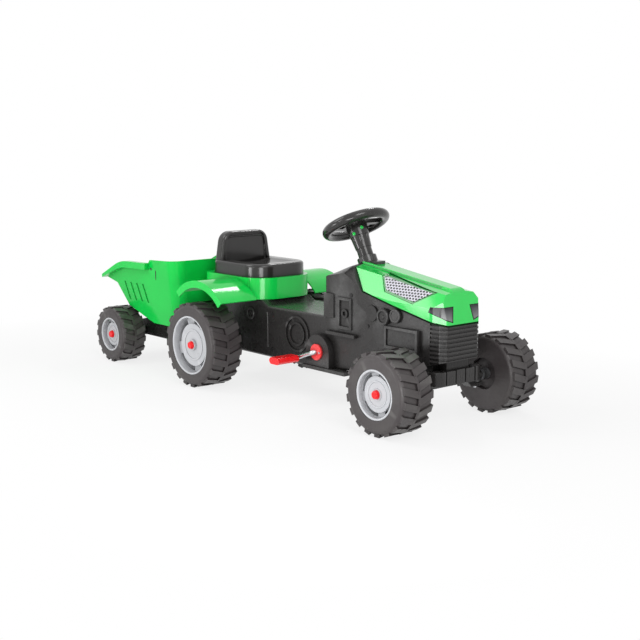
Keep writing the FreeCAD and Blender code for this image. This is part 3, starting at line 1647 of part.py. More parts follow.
def seat_back_corners():
    return [
        (-s.seat_back_low_half_width, base_high),
        (s.seat_back_low_half_width, base_high),
        (s.seat_back_top_half_width, seat_back_high, s.seat_back_round),
        (-s.seat_back_top_half_width, seat_back_high, s.seat_back_round),
    ]


def seat():
    low = base_high
    plan = round_plan(s.seat_rear_x, s.seat_front_x, s.seat_half_width, s.seat_rear_round, s.seat_front_round)
    cushion = prism(outline("XY", plan, (0, 0, low)), "z", cushion_high - low)
    cushion = rounded(cushion, s.seat_edge_round, lambda edge: all(
        abs(vertex.Point.z - float(cushion_high)) < float(s.wall) for vertex in edge.Vertexes))
    back = prism(outline("YZ", seat_back_corners(), (s.seat_rear_x, 0, 0)), "x", s.seat_back_thickness)
    back = rounded(back, s.seat_edge_round, lambda edge: all(
        vertex.Point.z > float(low) + float(s.wall) or abs(edge.CenterOfMass.z - float(low)) > float(s.wall)
        for vertex in edge.Vertexes)
        and abs(edge.Vertexes[0].Point.x - edge.Vertexes[-1].Point.x) < float(s.wall))
    front = s.seat_rear_x + s.seat_back_thickness
    panel = prism(outline("YZ", inset(seat_back_corners(), s.seat_panel_inset),
                          (front - s.seat_panel_depth, 0, s.seat_panel_lift)),
                  "x", s.seat_panel_depth + s.overrun)
    dish = rod("x", s.seat_dish_radius,
               (front, 0, cushion_high - s.seat_dish_depth + s.seat_dish_radius),
               s.seat_front_x - front - s.seat_front_round / 2)
    inner_plan = round_plan(s.seat_rear_x + s.wall, s.seat_front_x - s.wall, s.seat_half_width - s.wall,
                            s.seat_rear_round - s.wall, s.seat_front_round - s.wall)
    cavity_high = cushion_high - s.seat_dish_depth - s.wall
    cavity = prism(outline("XY", inner_plan, (0, 0, low)), "z", cavity_high - low, s.overrun)
    back_inner = inset(seat_back_corners(), 2 * s.wall)
    back_cavity = prism(outline("YZ", back_inner, (s.seat_rear_x + s.wall, 0, -2 * s.wall)), "x",
                        s.seat_back_thickness - s.seat_panel_depth - 2 * s.wall)
    node("seat", cut(fuse([cushion, back]), [panel, dish, cavity, back_cavity]))


# Hitch and trailer

def tow_hitch():
    rear = s.body_rear_x
    plate = block((rear - s.bracket_thickness, -s.bracket_half_width, s.bracket_low),
                  (rear, s.bracket_half_width, s.bracket_high))
    shelf = block((hitch_x - s.hitch_eye_radius, -s.bracket_half_width, s.bracket_low),
                  (rear, s.bracket_half_width, s.bracket_low + s.bracket_thickness))
    top = s.bracket_low + s.bracket_thickness
    hole = rod("z", s.hitch_pin_radius,
               (hitch_x, 0, s.bracket_low - s.overrun), s.bracket_thickness + 2 * s.overrun)
    node("tow_bracket", cut(fuse([plate, shelf]), [hole]))
    shank = rod("z", s.hitch_pin_radius, (hitch_x, 0, s.hitch_pin_low), top - s.hitch_pin_low)
    head = rod("z", s.hitch_pin_head_radius, (hitch_x, 0, top), s.hitch_pin_head)
    node("hitch_pin", fuse([shank, head]))


def tub_side_corners():
    step_x = s.tub_step_x - s.tub_step_drop
    step_z = s.tub_rim_rear - s.tub_step_drop
    return [
        (s.tub_tail_x, s.tub_tail_low),
        (s.tub_lip_x, s.tub_lip_height),
        (s.tub_slope_x, s.tub_slope_height),
        (s.tub_ramp_x, s.tub_ramp_height),
        (s.tub_floor_rear_x, s.tub_floor),
        (s.tub_front_x, s.tub_floor),
        (s.tub_front_x, s.tub_rim_front),
        (s.tub_step_x, s.tub_rim_rear),
        (step_x, step_z),
        (s.tub_shoulder_x, s.tub_shoulder_height, s.tub_shoulder_round),
        (s.tub_tail_x, s.tub_tail_high),
    ]


def tub_half_width(height):
    rise = (height - s.tub_floor) / (s.tub_rim_front - s.tub_floor)
    return s.tub_low_half_width + (s.tub_high_half_width - s.tub_low_half_width) * rise


def tub_section(low, high, gap):
    corners = [
        (gap - tub_half_width(low), low),
        (tub_half_width(low) - gap, low),
        (tub_half_width(high) - gap, high),
        (gap - tub_half_width(high), high),
    ]
    return prism(outline("YZ", corners, (s.tub_front_x + s.overrun, 0, 0)), "x", 0,
                 s.tub_front_x - s.tub_tail_x + 3 * s.overrun)


def tub_cavity():
    wall = s.tub_wall
    floor_line = inset(tub_side_corners(), wall)[:6]
    tail = s.tub_tail_x - s.overrun
    high = s.tub_rim_front + s.overrun
    start = on_line(floor_line[1], floor_line[0], float(tail))
    front = s.tub_front_x - wall
    corners = [(tail, start)] + floor_line[1:] + [(front, high), (tail, high)]
    reach = s.tub_high_half_width + 2 * s.overrun
    across = prism(outline("XZ", corners), "y", reach, reach)
    cavity = common(across, tub_section(s.tub_floor, high, wall))
    return rounded(cavity, s.tub_corner_round - wall, lambda edge: is_front_upright(edge, front))


def is_front_upright(edge, x):
    near = all(abs(vertex.Point.x - float(x)) < float(s.tub_wall) / 2 for vertex in edge.Vertexes)
    return near and edge.BoundBox.ZLength > float(s.tub_corner_round)


def trailer_tub():
    reach = s.tub_high_half_width + s.tub_band_raise
    across = prism(outline("XZ", tub_side_corners()), "y", reach, reach)
    form = common(across, tub_section(s.tub_floor, s.tub_rim_front, 0))
    form = rounded(form, s.tub_corner_round, lambda edge: is_front_upright(edge, s.tub_front_x))
    step_x = s.tub_step_x - s.tub_step_drop
    step_z = s.tub_rim_rear - s.tub_step_drop
    band = prism(outline("XZ", [
        (s.tub_tail_x, s.tub_tail_low),
        (s.tub_shoulder_x, s.tub_shoulder_height - s.tub_band, s.tub_shoulder_round),
        (step_x, step_z - s.tub_band),
        (step_x, step_z),
        (s.tub_shoulder_x, s.tub_shoulder_height, s.tub_shoulder_round),
        (s.tub_tail_x, s.tub_tail_high),
    ]), "y", reach, reach)
    skin = cut(tub_section(s.tub_floor, s.tub_rim_front, 0),
               [tub_section(s.tub_floor, s.tub_rim_front, s.tub_groove_depth)])
    bars = []
    for index in range(int(float(s.tub_grooves))):
        x = s.tub_groove_x - index * s.tub_groove_pitch
        bars.append(prism(outline("XZ", [
            (x + s.tub_groove_lean, s.tub_groove_low),
            (x + s.tub_groove_lean + s.tub_groove_width, s.tub_groove_low),
            (x + s.tub_groove_width, s.tub_groove_high),
            (x, s.tub_groove_high),
        ]), "y", reach, reach))
    grooves = common(skin, fuse(bars))
    node("trailer_tub", cut(fuse([form, band]), [tub_cavity(), grooves]))


def trailer_chassis():
    high = s.tub_floor
    side = [
        (s.frame_rear_x, s.frame_low),
        (s.frame_front_x, s.frame_low),
        (s.frame_front_x, high),
        (s.tub_floor_rear_x, high),
        (s.tub_ramp_x, s.tub_ramp_height),
        (s.frame_rear_x, s.frame_rear_high),
    ]
    across = prism(outline("XZ", side), "y", s.frame_half_width, s.frame_half_width)
    inner = inset(side, s.wall)
    open_side = [(inner[0][0], s.frame_low - s.overrun), (inner[1][0], s.frame_low - s.overrun)] + inner[2:]
    cavity = prism(outline("XZ", open_side), "y", s.frame_half_width - s.wall, s.frame_half_width - s.wall)
    top = s.bracket_low - s.hitch_gap
    low = top - s.drawbar_thickness
    plan = mirror_half([
        (s.frame_front_x - s.wall, -s.drawbar_root_half_width),
        (hitch_x, -s.drawbar_half_width),
    ])
    bar = prism(outline("XY", plan, (0, 0, low)), "z", s.drawbar_thickness)
    eye = rod("z", s.hitch_eye_radius, (hitch_x, 0, low), s.drawbar_thickness)
    hole = rod("z", s.hitch_pin_radius + s.hitch_gap,
               (hitch_x, 0, low - s.overrun), s.drawbar_thickness + 2 * s.overrun)
    end = s.trailer_track / 2 - s.cap_skin
    axle_hole = rod("y", s.trailer_axle_radius, (trailer_axle_x, -end, s.trailer_tyre_radius), 2 * end)
    sleeve_end = s.trailer_boss_place - s.side_gap
    bearing = rod("y", s.rim_boss_radius,
                  (trailer_axle_x, -sleeve_end, s.trailer_tyre_radius), 2 * sleeve_end)
    shell = cut(across, [cavity])
    node("trailer_chassis", cut(fuse([shell, bar, eye, bearing]), [hole, axle_hole]))
    node("trailer_axle",
         rod("y", s.trailer_axle_radius, (trailer_axle_x, -end, s.trailer_tyre_radius), 2 * end))


def body_screws():
    heads = []
    for x_share, z_share in BODY_SCREW_SHARES:
        x = s.body_rear_x + x_share * (s.nose_x - s.body_rear_x)
        heads.append(rod("y", s.screw_radius,
                         (x, -s.body_half_width - s.screw_head, z_share * s.seam_rear_height),
                         s.screw_head))
    node("body_screws", group(heads))


def build():
    wheels()
    body_halves()
    hood()
    nose_grille()
    front_weights()
    steering_wheel()
    column_sleeve()
    steering_shaft()
    column_collar()
    front_axle()
    knuckle()
    tie_rod()
    drive()
    seat_base()
    seat()
    tow_hitch()
    trailer_tub()
    trailer_chassis()
    body_screws()


build()
doc.recompute()
for thing in doc.Objects:
    if "Invalid" in thing.State or "Error" in thing.State:
        raise RuntimeError(f"{thing.Name} ({thing.Label}) did not build: {thing.State}")
for thing in NODES:
    if thing.Shape.isNull() or not thing.Shape.isValid():
        raise RuntimeError(f"{thing.Label} has no valid shape")
os.makedirs("parts", exist_ok=True)
for thing in NODES:
    thing.Shape.exportStep(f"parts/{thing.Label}.step")
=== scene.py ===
import json
import math

import bmesh
import bpy
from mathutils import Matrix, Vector


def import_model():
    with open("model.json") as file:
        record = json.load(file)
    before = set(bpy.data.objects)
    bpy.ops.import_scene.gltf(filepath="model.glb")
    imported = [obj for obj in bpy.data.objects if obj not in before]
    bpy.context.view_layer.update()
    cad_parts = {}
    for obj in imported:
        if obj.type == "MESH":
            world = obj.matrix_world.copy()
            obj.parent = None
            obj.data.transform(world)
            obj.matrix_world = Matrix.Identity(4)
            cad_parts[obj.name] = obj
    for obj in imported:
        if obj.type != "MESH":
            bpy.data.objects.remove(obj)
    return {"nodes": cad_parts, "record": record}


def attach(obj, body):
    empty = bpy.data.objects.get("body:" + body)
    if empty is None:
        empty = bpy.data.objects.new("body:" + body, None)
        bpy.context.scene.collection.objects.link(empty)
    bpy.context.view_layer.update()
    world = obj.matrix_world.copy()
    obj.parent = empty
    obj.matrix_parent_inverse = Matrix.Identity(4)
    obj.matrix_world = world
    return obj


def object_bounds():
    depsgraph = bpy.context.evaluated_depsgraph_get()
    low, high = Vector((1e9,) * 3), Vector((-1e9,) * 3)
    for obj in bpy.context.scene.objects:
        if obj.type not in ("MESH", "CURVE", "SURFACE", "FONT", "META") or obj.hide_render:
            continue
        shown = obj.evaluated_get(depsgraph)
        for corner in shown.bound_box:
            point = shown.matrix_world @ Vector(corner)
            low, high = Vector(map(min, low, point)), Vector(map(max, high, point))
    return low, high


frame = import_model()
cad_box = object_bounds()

# Lengths are in metres. The solids' meshes are drawn at their places in the frame.

scene = bpy.context.scene
nodes = frame["nodes"]


def box_of(name):
    """The low and the high corner of a solid."""
    spots = [vertex.co for vertex in nodes[name].data.vertices]
    low = Vector([min(parts) for parts in zip(*spots)])
    high = Vector([max(parts) for parts in zip(*spots)])
    return low, high


hood_low, hood_high = box_of("hood")
mesh_low, mesh_high = box_of("hood_mesh_panels")
lamp_low, lamp_high = box_of("headlamp_lenses")
tub_low, tub_high = box_of("trailer_tub")
rim_low, rim_high = box_of("front_rim_left")
seat_low, seat_high = box_of("seat")
body_low = box_of("chassis_right")[0]


# Materials

# Most of a noise lies between these values.
NOISE_RANGE = (0.3, 0.7)
# What the occlusion node gives deep in a gap, and in the open.
OCCLUSION_RANGE = (0.25, 0.90)
OCCLUSION_SAMPLES = 6

GREEN = (0.005, 0.640, 0.078)
# Painted shade in the hood's recess and grooves.
PAINTED_SHADE_GREEN = (0.003, 0.250, 0.032)
BLACK = (0.024, 0.0225, 0.0220)
TYRE = (0.044, 0.037, 0.038)
TYRE_DUST = (0.085, 0.080, 0.072)
TYRE_RUBBED = (0.12, 0.115, 0.11)
GREY = (0.540, 0.550, 0.575)
RED = (0.880, 0.010, 0.014)
# Painted shadow in the gap along the hood's lower edge.
PAINTED_GAP_SHADOW = (0.006, 0.008, 0.006)
# Painted shade on the inner half of the front rims.
HUB_SHADE_DARK = (0.02, 0.02, 0.02)


class Look:
    """One procedural material, built round its Principled shader."""

    def __init__(self, name):
        self.material = bpy.data.materials.new(name)
        self.material.use_nodes = True
        self.tree = self.material.node_tree
        self.shader = self.tree.nodes["Principled BSDF"]
        self.place = self.add("ShaderNodeTexCoord").outputs["Object"]
        # A mask of the painted shadow in open seams, which have no gloss.
        self.seam = None

    def add(self, kind, **settings):
        node = self.tree.nodes.new(kind)
        for key, value in settings.items():
            setattr(node, key, value)
        return node

    def link(self, value, socket):
        """Joins an output to a socket, or sets a plain value on it."""
        if hasattr(value, "is_output"):
            self.tree.links.new(value, socket)
        else:
            socket.default_value = value

    def math(self, operation, first, second=0.0):
        node = self.add("ShaderNodeMath", operation=operation)
        for socket, value in zip(node.inputs, (first, second)):
            self.link(value, socket)
        return node.outputs[0]

    def noise(self, scale, detail=3.0, stretch=None):
        node = self.add("ShaderNodeTexNoise")
        node.inputs["Scale"].default_value = scale
        node.inputs["Detail"].default_value = detail
        place = self.place
        if stretch:
            mapping = self.add("ShaderNodeMapping")
            mapping.inputs["Scale"].default_value = stretch
            self.link(place, mapping.inputs["Vector"])
            place = mapping.outputs["Vector"]
        self.link(place, node.inputs["Vector"])
        return node.outputs[0]

    def spread(self, value, low, high, start=0.0, end=1.0):
        """Runs from low to high while the value goes from start to end, and stays there beyond."""
        node = self.add("ShaderNodeMapRange")
        for key, number in (("From Min", start), ("From Max", end), ("To Min", low), ("To Max", high)):
            node.inputs[key].default_value = number
        self.link(value, node.inputs["Value"])
        return node.outputs["Result"]

    def rise(self, value, start, end):
        """Zero up to the start, one from the end on."""
        return self.spread(value, 0.0, 1.0, start, end)

    def fall(self, value, start, end):
        """One up to the start, zero from the end on."""
        return self.spread(value, 1.0, 0.0, start, end)

    def mix(self, factor, first, second):
        node = self.add("ShaderNodeMix", data_type="RGBA")
        self.link(factor, node.inputs["Factor"])
        for socket, colour in ((node.inputs["A"], first), (node.inputs["B"], second)):
            self.link(colour if hasattr(colour, "is_output") else (*colour, 1.0), socket)
        return node.outputs["Result"]

    def axes(self):
        node = self.add("ShaderNodeSeparateXYZ")
        self.link(self.place, node.inputs[0])
        return node.outputs

    def edges(self, start, end):
        """How far a spot lies on an outer edge."""
        point = self.add("ShaderNodeNewGeometry").outputs["Pointiness"]
        return self.rise(point, start, end)

    def painted_gap_shade(self, reach, low):
        """Painted shade: one in the open, down to a lower share deep in corners and gaps."""
        node = self.add("ShaderNodeAmbientOcclusion", samples=OCCLUSION_SAMPLES)
        node.inputs["Distance"].default_value = reach
        return self.spread(node.outputs["AO"], low, 1.0, *OCCLUSION_RANGE)

    def bump(self, height, strength, depth):
        node = self.add("ShaderNodeBump")
        node.inputs["Strength"].default_value = strength
        node.inputs["Distance"].default_value = depth
        self.link(height, node.inputs["Height"])
        self.link(node.outputs["Normal"], self.shader.inputs["Normal"])

    def set(self, **values):
        for key, value in values.items():
            self.link(value, self.shader.inputs[key.replace("_", " ")])
        return self.material


def tone(colour, share):
    return tuple(min(1.0, part * share) for part in colour)


def plastic(name, colour, rough, grain, depth, wear, coat=0.0, patch=0.06, painted_shade=None, gloss=0.5):
    """Moulded plastic: faint cloudy colour, uneven gloss, moulded grain, rubbed edges and painted shade in
    corners and gaps.
    """
    look = Look(name)
    cloud = look.rise(look.noise(scale=7.0, detail=4.0), *NOISE_RANGE)
    base = look.mix(cloud, tone(colour, 1 - patch), tone(colour, 1 + patch))
    # Painted shade in recesses, grooves and seams, where a material has it, goes on here.
    if painted_shade:
        base = painted_shade(look, base)
    rubbed = look.math("MULTIPLY", look.edges(start=0.53, end=0.62), look.noise(scale=60.0, detail=2.0))
    pale = tuple(part + (1 - part) * wear for part in colour)
    streaks = look.noise(scale=40.0, detail=4.0, stretch=(1.0, 6.0, 1.0))
    look.bump(look.noise(grain, detail=2.0), strength=0.5, depth=depth)
    # Painted shade: deep in corners and gaps the colour darkens and the gloss drops.
    unshaded_share = look.painted_gap_shade(reach=0.025, low=0.15)
    # In the painted shadow of open seams, coat and gloss are taken away.
    if look.seam is not None:
        coat = look.spread(look.seam, coat, 0.0)
        gloss = look.spread(look.seam, gloss, 0.0)
    smoothest = rough - 0.04
    roughest = rough + 0.06
    return look.set(
        Base_Color=look.mix(unshaded_share, tone(colour, share=0.35), look.mix(rubbed, base, pale)),
        Roughness=look.spread(streaks, smoothest, roughest, *NOISE_RANGE),
        Coat_Weight=coat,
        Coat_Roughness=0.12,
        Specular_IOR_Level=look.math("MULTIPLY", unshaded_share, gloss),
        IOR=1.42,
    )


def mesh_frame(look, x, z):
    """The frame round the hood mesh, which has four corners seen from the side. Painted shade goes on it."""
    heel_ahead = 0.024
    heel_rise = 0.019
    toe_back = 0.040
    tip_rise = 0.023
    frame_width = 0.0048
    fade = 0.0008
    corners = (
        (mesh_low.x + heel_ahead, mesh_low.z + heel_rise),
        (mesh_high.x - toe_back, mesh_low.z),
        (mesh_high.x, mesh_low.z + tip_rise),
        (mesh_low.x, mesh_high.z),
    )
    inside = None
    for (x1, z1), (x2, z2) in zip(corners, corners[1:] + corners[:1]):
        length = math.hypot(x2 - x1, z2 - z1)
        part_x = look.math("MULTIPLY", look.math("SUBTRACT", x, x1), (z1 - z2) / length)
        part_z = look.math("MULTIPLY", look.math("SUBTRACT", z, z1), (x2 - x1) / length)
        depth = look.math("ADD", part_x, part_z)
        inside = depth if inside is None else look.math("MINIMUM", inside, depth)
    return look.rise(inside, -frame_width - fade, -frame_width)


def spine_grooves(look, x, y, z):
    """The two grooves beside the raised spine, which runs from the hood's rear to near its nose. Painted
    shade goes in them.
    """
    half_spine_rear = 0.027
    half_spine_front = 0.022
    spine_rear = hood_low.x
    spine_front = hood_high.x - 0.057
    ridge_rear = hood_high.z - 0.0025
    ridge_front = hood_high.z - 0.0398
    half_groove = 0.0010
    side_fade = 0.0008
    groove_depth = 0.006
    depth_fade = 0.002
    end_fade = 0.006
    half_spine = look.spread(x, half_spine_rear, half_spine_front, spine_rear, spine_front)
    beside = look.math("ABSOLUTE", look.math("SUBTRACT", look.math("ABSOLUTE", y), half_spine))
    groove = look.fall(beside, half_groove, half_groove + side_fade)
    ridge = look.spread(x, ridge_rear, ridge_front, spine_rear, spine_front)
    high = look.math("SUBTRACT", z, ridge)
    groove = look.math("MULTIPLY", groove, look.rise(high, -groove_depth - depth_fade, -groove_depth))
    return look.math("MULTIPLY", groove, look.fall(x, spine_front, spine_front + end_fade))


def lower_gap_shadow(look, x, z):
    """The painted shadow in the gap along the hood's lower edge, which falls steeply to a knee and then
    gently to the nose.
    """
    rear = hood_low.x + 0.0143
    knee = hood_low.x + 0.068
    knee_height = hood_low.z + 0.0605
    rear_rise = 0.0534
    seam_width = 0.0040
    fade = 0.0010
    rear_edge = look.spread(x, rear_rise, 0.0, rear, knee)
    low_edge = look.spread(x, knee_height, hood_low.z, knee, hood_high.x)
    above = look.math("SUBTRACT", z, look.math("ADD", rear_edge, low_edge))
    return look.fall(above, seam_width, seam_width + fade)


def hood_painted_shade(look, base):
    """Painted shade: deeper green in the recess round the mesh and in the grooves beside the spine, and a
    painted shadow in the gap along the lower edge.
    """
    x, y, z = look.axes()
    groove_share = 0.75
    # Painted shade in the recess round the mesh and in the grooves beside the spine.
    base = look.mix(mesh_frame(look, x, z), base, PAINTED_SHADE_GREEN)
    base = look.mix(look.math("MULTIPLY", spine_grooves(look, x, y, z), groove_share), base, PAINTED_SHADE_GREEN)
    # Painted shadow in the gap between the hood and the body.
    look.seam = lower_gap_shadow(look, x, z)
    return look.mix(look.seam, base, PAINTED_GAP_SHADOW)


def tub_groove_shade(look, base):
    """Painted shade: deeper green at the bottom of the slanted grooves in the tub's sides."""
    x, y, z = look.axes()
    half_foot = 0.166
    half_rim = 0.190
    fade = 0.001
    heights = (tub_low.z + 0.060, tub_low.z + 0.118)
    lengths = (tub_low.x + 0.080, tub_low.x + 0.230)
    half_width = look.spread(z, half_foot, half_rim, tub_low.z, tub_high.z)
    depth = look.math("SUBTRACT", half_width, look.math("ABSOLUTE", y))
    groove = look.math("MULTIPLY", look.rise(depth, start=0.0006, end=0.0012),
                       look.fall(depth, start=0.0026, end=0.0030))
    for value, (low, high) in ((z, heights), (x, lengths)):
        groove = look.math("MULTIPLY", groove, look.rise(value, low - fade, low))
        groove = look.math("MULTIPLY", groove, look.fall(value, high, high + fade))
    return look.mix(groove, base, tone(GREEN, share=0.55))


def hub_painted_shade(look, base):
    """Painted shade: the inner half of a front rim is painted dark, as it lies in the dark of the wheel."""
    middle = (rim_low.y + rim_high.y) / 2
    fade = 0.006
    off_centre = look.math("ABSOLUTE", look.axes()["Y"])
    return look.mix(look.fall(off_centre, middle, middle + fade), base, HUB_SHADE_DARK)


def tyre_plastic():
    """Blow-moulded tyre: matt skin, dusty in patches, paler on the tread's high spots, with painted shade
    between the lugs.
    """
    look = Look("tyre_matt_plastic")
    dust = look.spread(look.noise(scale=12.0, detail=6.0), low=0.0, high=0.35, start=0.45, end=0.75)
    base = look.mix(dust, TYRE, TYRE_DUST)
    rubbed = look.math("MULTIPLY", look.edges(start=0.52, end=0.60), look.noise(scale=45.0))
    look.bump(look.noise(scale=600.0), strength=0.6, depth=0.0004)
    # Painted shade: the colour darkens and the gloss drops in the gaps between the lugs.
    unshaded_share = look.painted_gap_shade(reach=0.02, low=0.10)
    gloss = 0.5
    return look.set(
        Base_Color=look.mix(unshaded_share, tone(TYRE, share=0.25), look.mix(rubbed, base, TYRE_RUBBED)),
        Roughness=look.spread(look.noise(scale=90.0), 0.34, 0.52, *NOISE_RANGE),
        Specular_IOR_Level=look.math("MULTIPLY", unshaded_share, gloss),
    )


def brushed_steel():
    """Bright rod steel with fine lines along it."""
    look = Look("brushed_steel")
    lines = look.noise(scale=300.0, stretch=(1.0, 0.05, 1.0))
    look.bump(lines, strength=0.3, depth=0.0001)
    return look.set(
        Base_Color=look.mix(lines, (0.50, 0.51, 0.53), (0.72, 0.73, 0.75)),
        Roughness=look.spread(lines, 0.20, 0.38, *NOISE_RANGE),
        Metallic=1.0,
    )


def screw_steel_painted_shade():
    """Screw steel painted dark, standing for the shade in the screw recesses."""
    look = Look("screw_steel_with_painted_shade")
    spots = look.noise(scale=260.0, detail=4.0)
    look.bump(spots, strength=0.4, depth=0.0002)
    return look.set(
        Base_Color=look.mix(spots, (0.012, 0.012, 0.013), (0.045, 0.044, 0.043)),
        Roughness=look.spread(spots, 0.30, 0.50, *NOISE_RANGE),
        Metallic=0.6,
    )


def mesh_plastic():
    """Pale mesh with staggered dark openings."""
    look = Look("hood_mesh")
    x, _, z = look.axes()
    pitch = 0.0092
    row_pitch = pitch * 0.8
    # The panel leans, so the pattern is slanted and stretched on it.
    row_slant = 0.17
    row_stretch = 1.22
    half = 0.5
    along = look.math("ADD", x, look.math("MULTIPLY", z, row_slant))
    rows = look.math("DIVIDE", look.math("MULTIPLY", z, row_stretch), row_pitch)
    stagger = look.math("MULTIPLY", look.math("MODULO", look.math("FLOOR", rows), 2.0), half)
    columns = look.math("ADD", look.math("DIVIDE", along, pitch), stagger)
    u = look.math("SUBTRACT", look.math("FRACT", columns), half)
    v = look.math("SUBTRACT", look.math("FRACT", rows), half)
    radius = look.math("SQRT", look.math("ADD", look.math("MULTIPLY", u, u), look.math("MULTIPLY", v, v)))
    bar = look.rise(radius, start=0.30, end=0.40)
    tint = look.rise(look.noise(scale=120.0, detail=2.0), *NOISE_RANGE)
    pale = look.mix(tint, (0.56, 0.55, 0.62), (0.74, 0.73, 0.80))
    look.bump(bar, strength=0.6, depth=0.0008)
    return look.set(Base_Color=look.mix(bar, (0.012, 0.014, 0.012), pale), Roughness=0.5)


def lamp_plastic():
    """Smoked lamp lens: black border and pillar, grey chambers, the front one paler and ribbed."""
    look = Look("lamp_lens")
    x, y, z = look.axes()
    # Places along the lens, which stands at 45 degrees across the hood's corner.
    rear_foot = 0.3768
    rear_top = 0.3820
    pillar = 0.4060
    front_end = 0.438
    half_step = 0.0005
    rear_height = lamp_high.z - 0.013
    # How fast the wave of the ribs turns, in radians per metre.
    rib_turn = 1800.0
    along = look.math("MULTIPLY", look.math("SUBTRACT", x, look.math("ABSOLUTE", y)), math.sqrt(0.5))
    low = look.spread(along, rear_height, lamp_low.z, rear_foot, front_end)
    rear_end = look.spread(z, rear_foot, rear_top, rear_height, lamp_high.z)
    from_low = look.math("SUBTRACT", z, low)
    rim = look.math("MINIMUM", look.math("SUBTRACT", lamp_high.z, z), from_low)
    rim = look.math("MINIMUM", rim, look.math("SUBTRACT", front_end, along))
    rim = look.math("MINIMUM", rim, look.math("SUBTRACT", along, rear_end))
    rim = look.math("MINIMUM", rim, look.math("ABSOLUTE", look.math("SUBTRACT", along, pillar)))
    border = look.fall(rim, start=0.0018, end=0.0030)
    ribs = look.math("SINE", look.math("MULTIPLY", along, rib_turn))
    height = look.math("DIVIDE", from_low, look.math("SUBTRACT", lamp_high.z, low))
    shade = look.rise(height, start=0.15, end=0.85)
    front = look.mix(shade, (0.250, 0.255, 0.260), (0.045, 0.047, 0.050))
    front = look.mix(look.spread(ribs, low=0.0, high=0.35, start=-1.0, end=1.0), front, (0.020, 0.021, 0.022))
    rear = look.mix(shade, (0.070, 0.073, 0.076), (0.018, 0.019, 0.020))
    cloud = look.spread(look.noise(scale=60.0, detail=2.0), 0.0, 0.4, *NOISE_RANGE)
    rear = look.mix(cloud, rear, (0.015, 0.016, 0.017))
    chambers = look.mix(look.rise(along, pillar - half_step, pillar + half_step), rear, front)
    look.bump(ribs, strength=0.08, depth=0.0004)
    return look.set(
        Base_Color=look.mix(border, chambers, (0.004, 0.004, 0.004)),
        Roughness=0.12,
        Specular_IOR_Level=0.22,
    )


GREEN_SKIN = {"grain": 900.0, "depth": 0.00003, "wear": 0.10}
RIM_SKIN = {"rough": 0.30, "grain": 800.0, "depth": 0.0001, "wear": 0.25, "coat": 0.1, "patch": 0.05}

green = plastic("green_gloss_plastic", GREEN, rough=0.12, **GREEN_SKIN)
hood_green = plastic("green_hood_plastic", GREEN, rough=0.13, coat=0.55, painted_shade=hood_painted_shade, **GREEN_SKIN)
tub_green = plastic("green_tub_plastic", GREEN, rough=0.12, gloss=0.32, painted_shade=tub_groove_shade, **GREEN_SKIN)
black = plastic("black_satin_plastic", BLACK, rough=0.27, grain=1100.0, depth=0.00015, wear=0.10, patch=0.10)
black_gloss = plastic("black_seat_plastic", BLACK, rough=0.18, grain=700.0, depth=0.00004, wear=0.10,
                      coat=0.2, patch=0.08)
red = plastic("red_gloss_plastic", RED, rough=0.25, grain=900.0, depth=0.00008, wear=0.12, coat=0.15)
grey = plastic("grey_rim_plastic", GREY, **RIM_SKIN)
front_grey = plastic("grey_front_rim_plastic", GREY, painted_shade=hub_painted_shade, **RIM_SKIN)

LOOKS = {
    "green_plastic": green,
    "black_plastic": black,
    "tyre_plastic": tyre_plastic(),
    "rim_plastic": grey,
    "red_plastic": red,
    "mesh_plastic": mesh_plastic(),
    "lamp_plastic": lamp_plastic(),
    "steel": brushed_steel(),
}
OWN_LOOKS = {
    "seat": black_gloss,
    "steering_wheel": black_gloss,
    "horn_button": black_gloss,
    "column_sleeve": black_gloss,
    "column_collar": black_gloss,
    "hood": hood_green,
    "trailer_tub": tub_green,
    "body_screws": screw_steel_painted_shade(),
    "front_rim_right": front_grey,
    "front_rim_left": front_grey,
}
for part in frame["record"]["subparts"]:
    look = OWN_LOOKS.get(part["node"], LOOKS[part["material_slot"]])
    materials = nodes[part["node"]].data.materials
    materials.clear()
    materials.append(look)


# Soft moulded edges on the solids

CREASE_ANGLE = math.radians(32)
WELD_REACH = 0.00002
BEVEL_SEGMENTS = 2
TYRE_EDGE = 0.0016
RIM_EDGE = 0.0010
EDGE_WIDTHS = {
    "chassis_right": 0.0020,
    "chassis_left": 0.0020,
    "hood": 0.0022,
    "nose_grille": 0.0020,
    "front_weights": 0.0024,
    "seat_base": 0.0020,
    "seat": 0.0020,
    "steering_wheel": 0.0020,
    "trailer_tub": 0.0016,
    "trailer_chassis": 0.0016,
    "column_collar": 0.0012,
    "column_sleeve": 0.0012,
    "front_axle_beam": 0.0015,
    "pedal_right": 0.0008,
    "pedal_left": 0.0008,
    "horn_button": 0.0015,
}


def smooth_group():
    """Shades smooth, but keeps edges sharp that turn by more than the crease angle."""
    group = bpy.data.node_groups.new("smooth_by_angle", "GeometryNodeTree")
    group.interface.new_socket("Geometry", in_out="INPUT", socket_type="NodeSocketGeometry")
    group.interface.new_socket("Geometry", in_out="OUTPUT", socket_type="NodeSocketGeometry")
    start = group.nodes.new("NodeGroupInput")
    end = group.nodes.new("NodeGroupOutput")
    faces = group.nodes.new("GeometryNodeSetShadeSmooth")
    creases = group.nodes.new("GeometryNodeSetShadeSmooth")
    creases.domain = "EDGE"
    creases.inputs["Shade Smooth"].default_value = False
    angle = group.nodes.new("GeometryNodeInputMeshEdgeAngle")
    sharp = group.nodes.new("FunctionNodeCompare")
    sharp.operation = "GREATER_THAN"
    sharp.inputs["B"].default_value = CREASE_ANGLE
    group.links.new(start.outputs[0], faces.inputs["Geometry"])
    group.links.new(faces.outputs[0], creases.inputs["Geometry"])
    group.links.new(angle.outputs["Unsigned Angle"], sharp.inputs["A"])
    group.links.new(sharp.outputs[0], creases.inputs["Selection"])
    group.links.new(creases.outputs[0], end.inputs[0])
    return group


smooth = smooth_group()


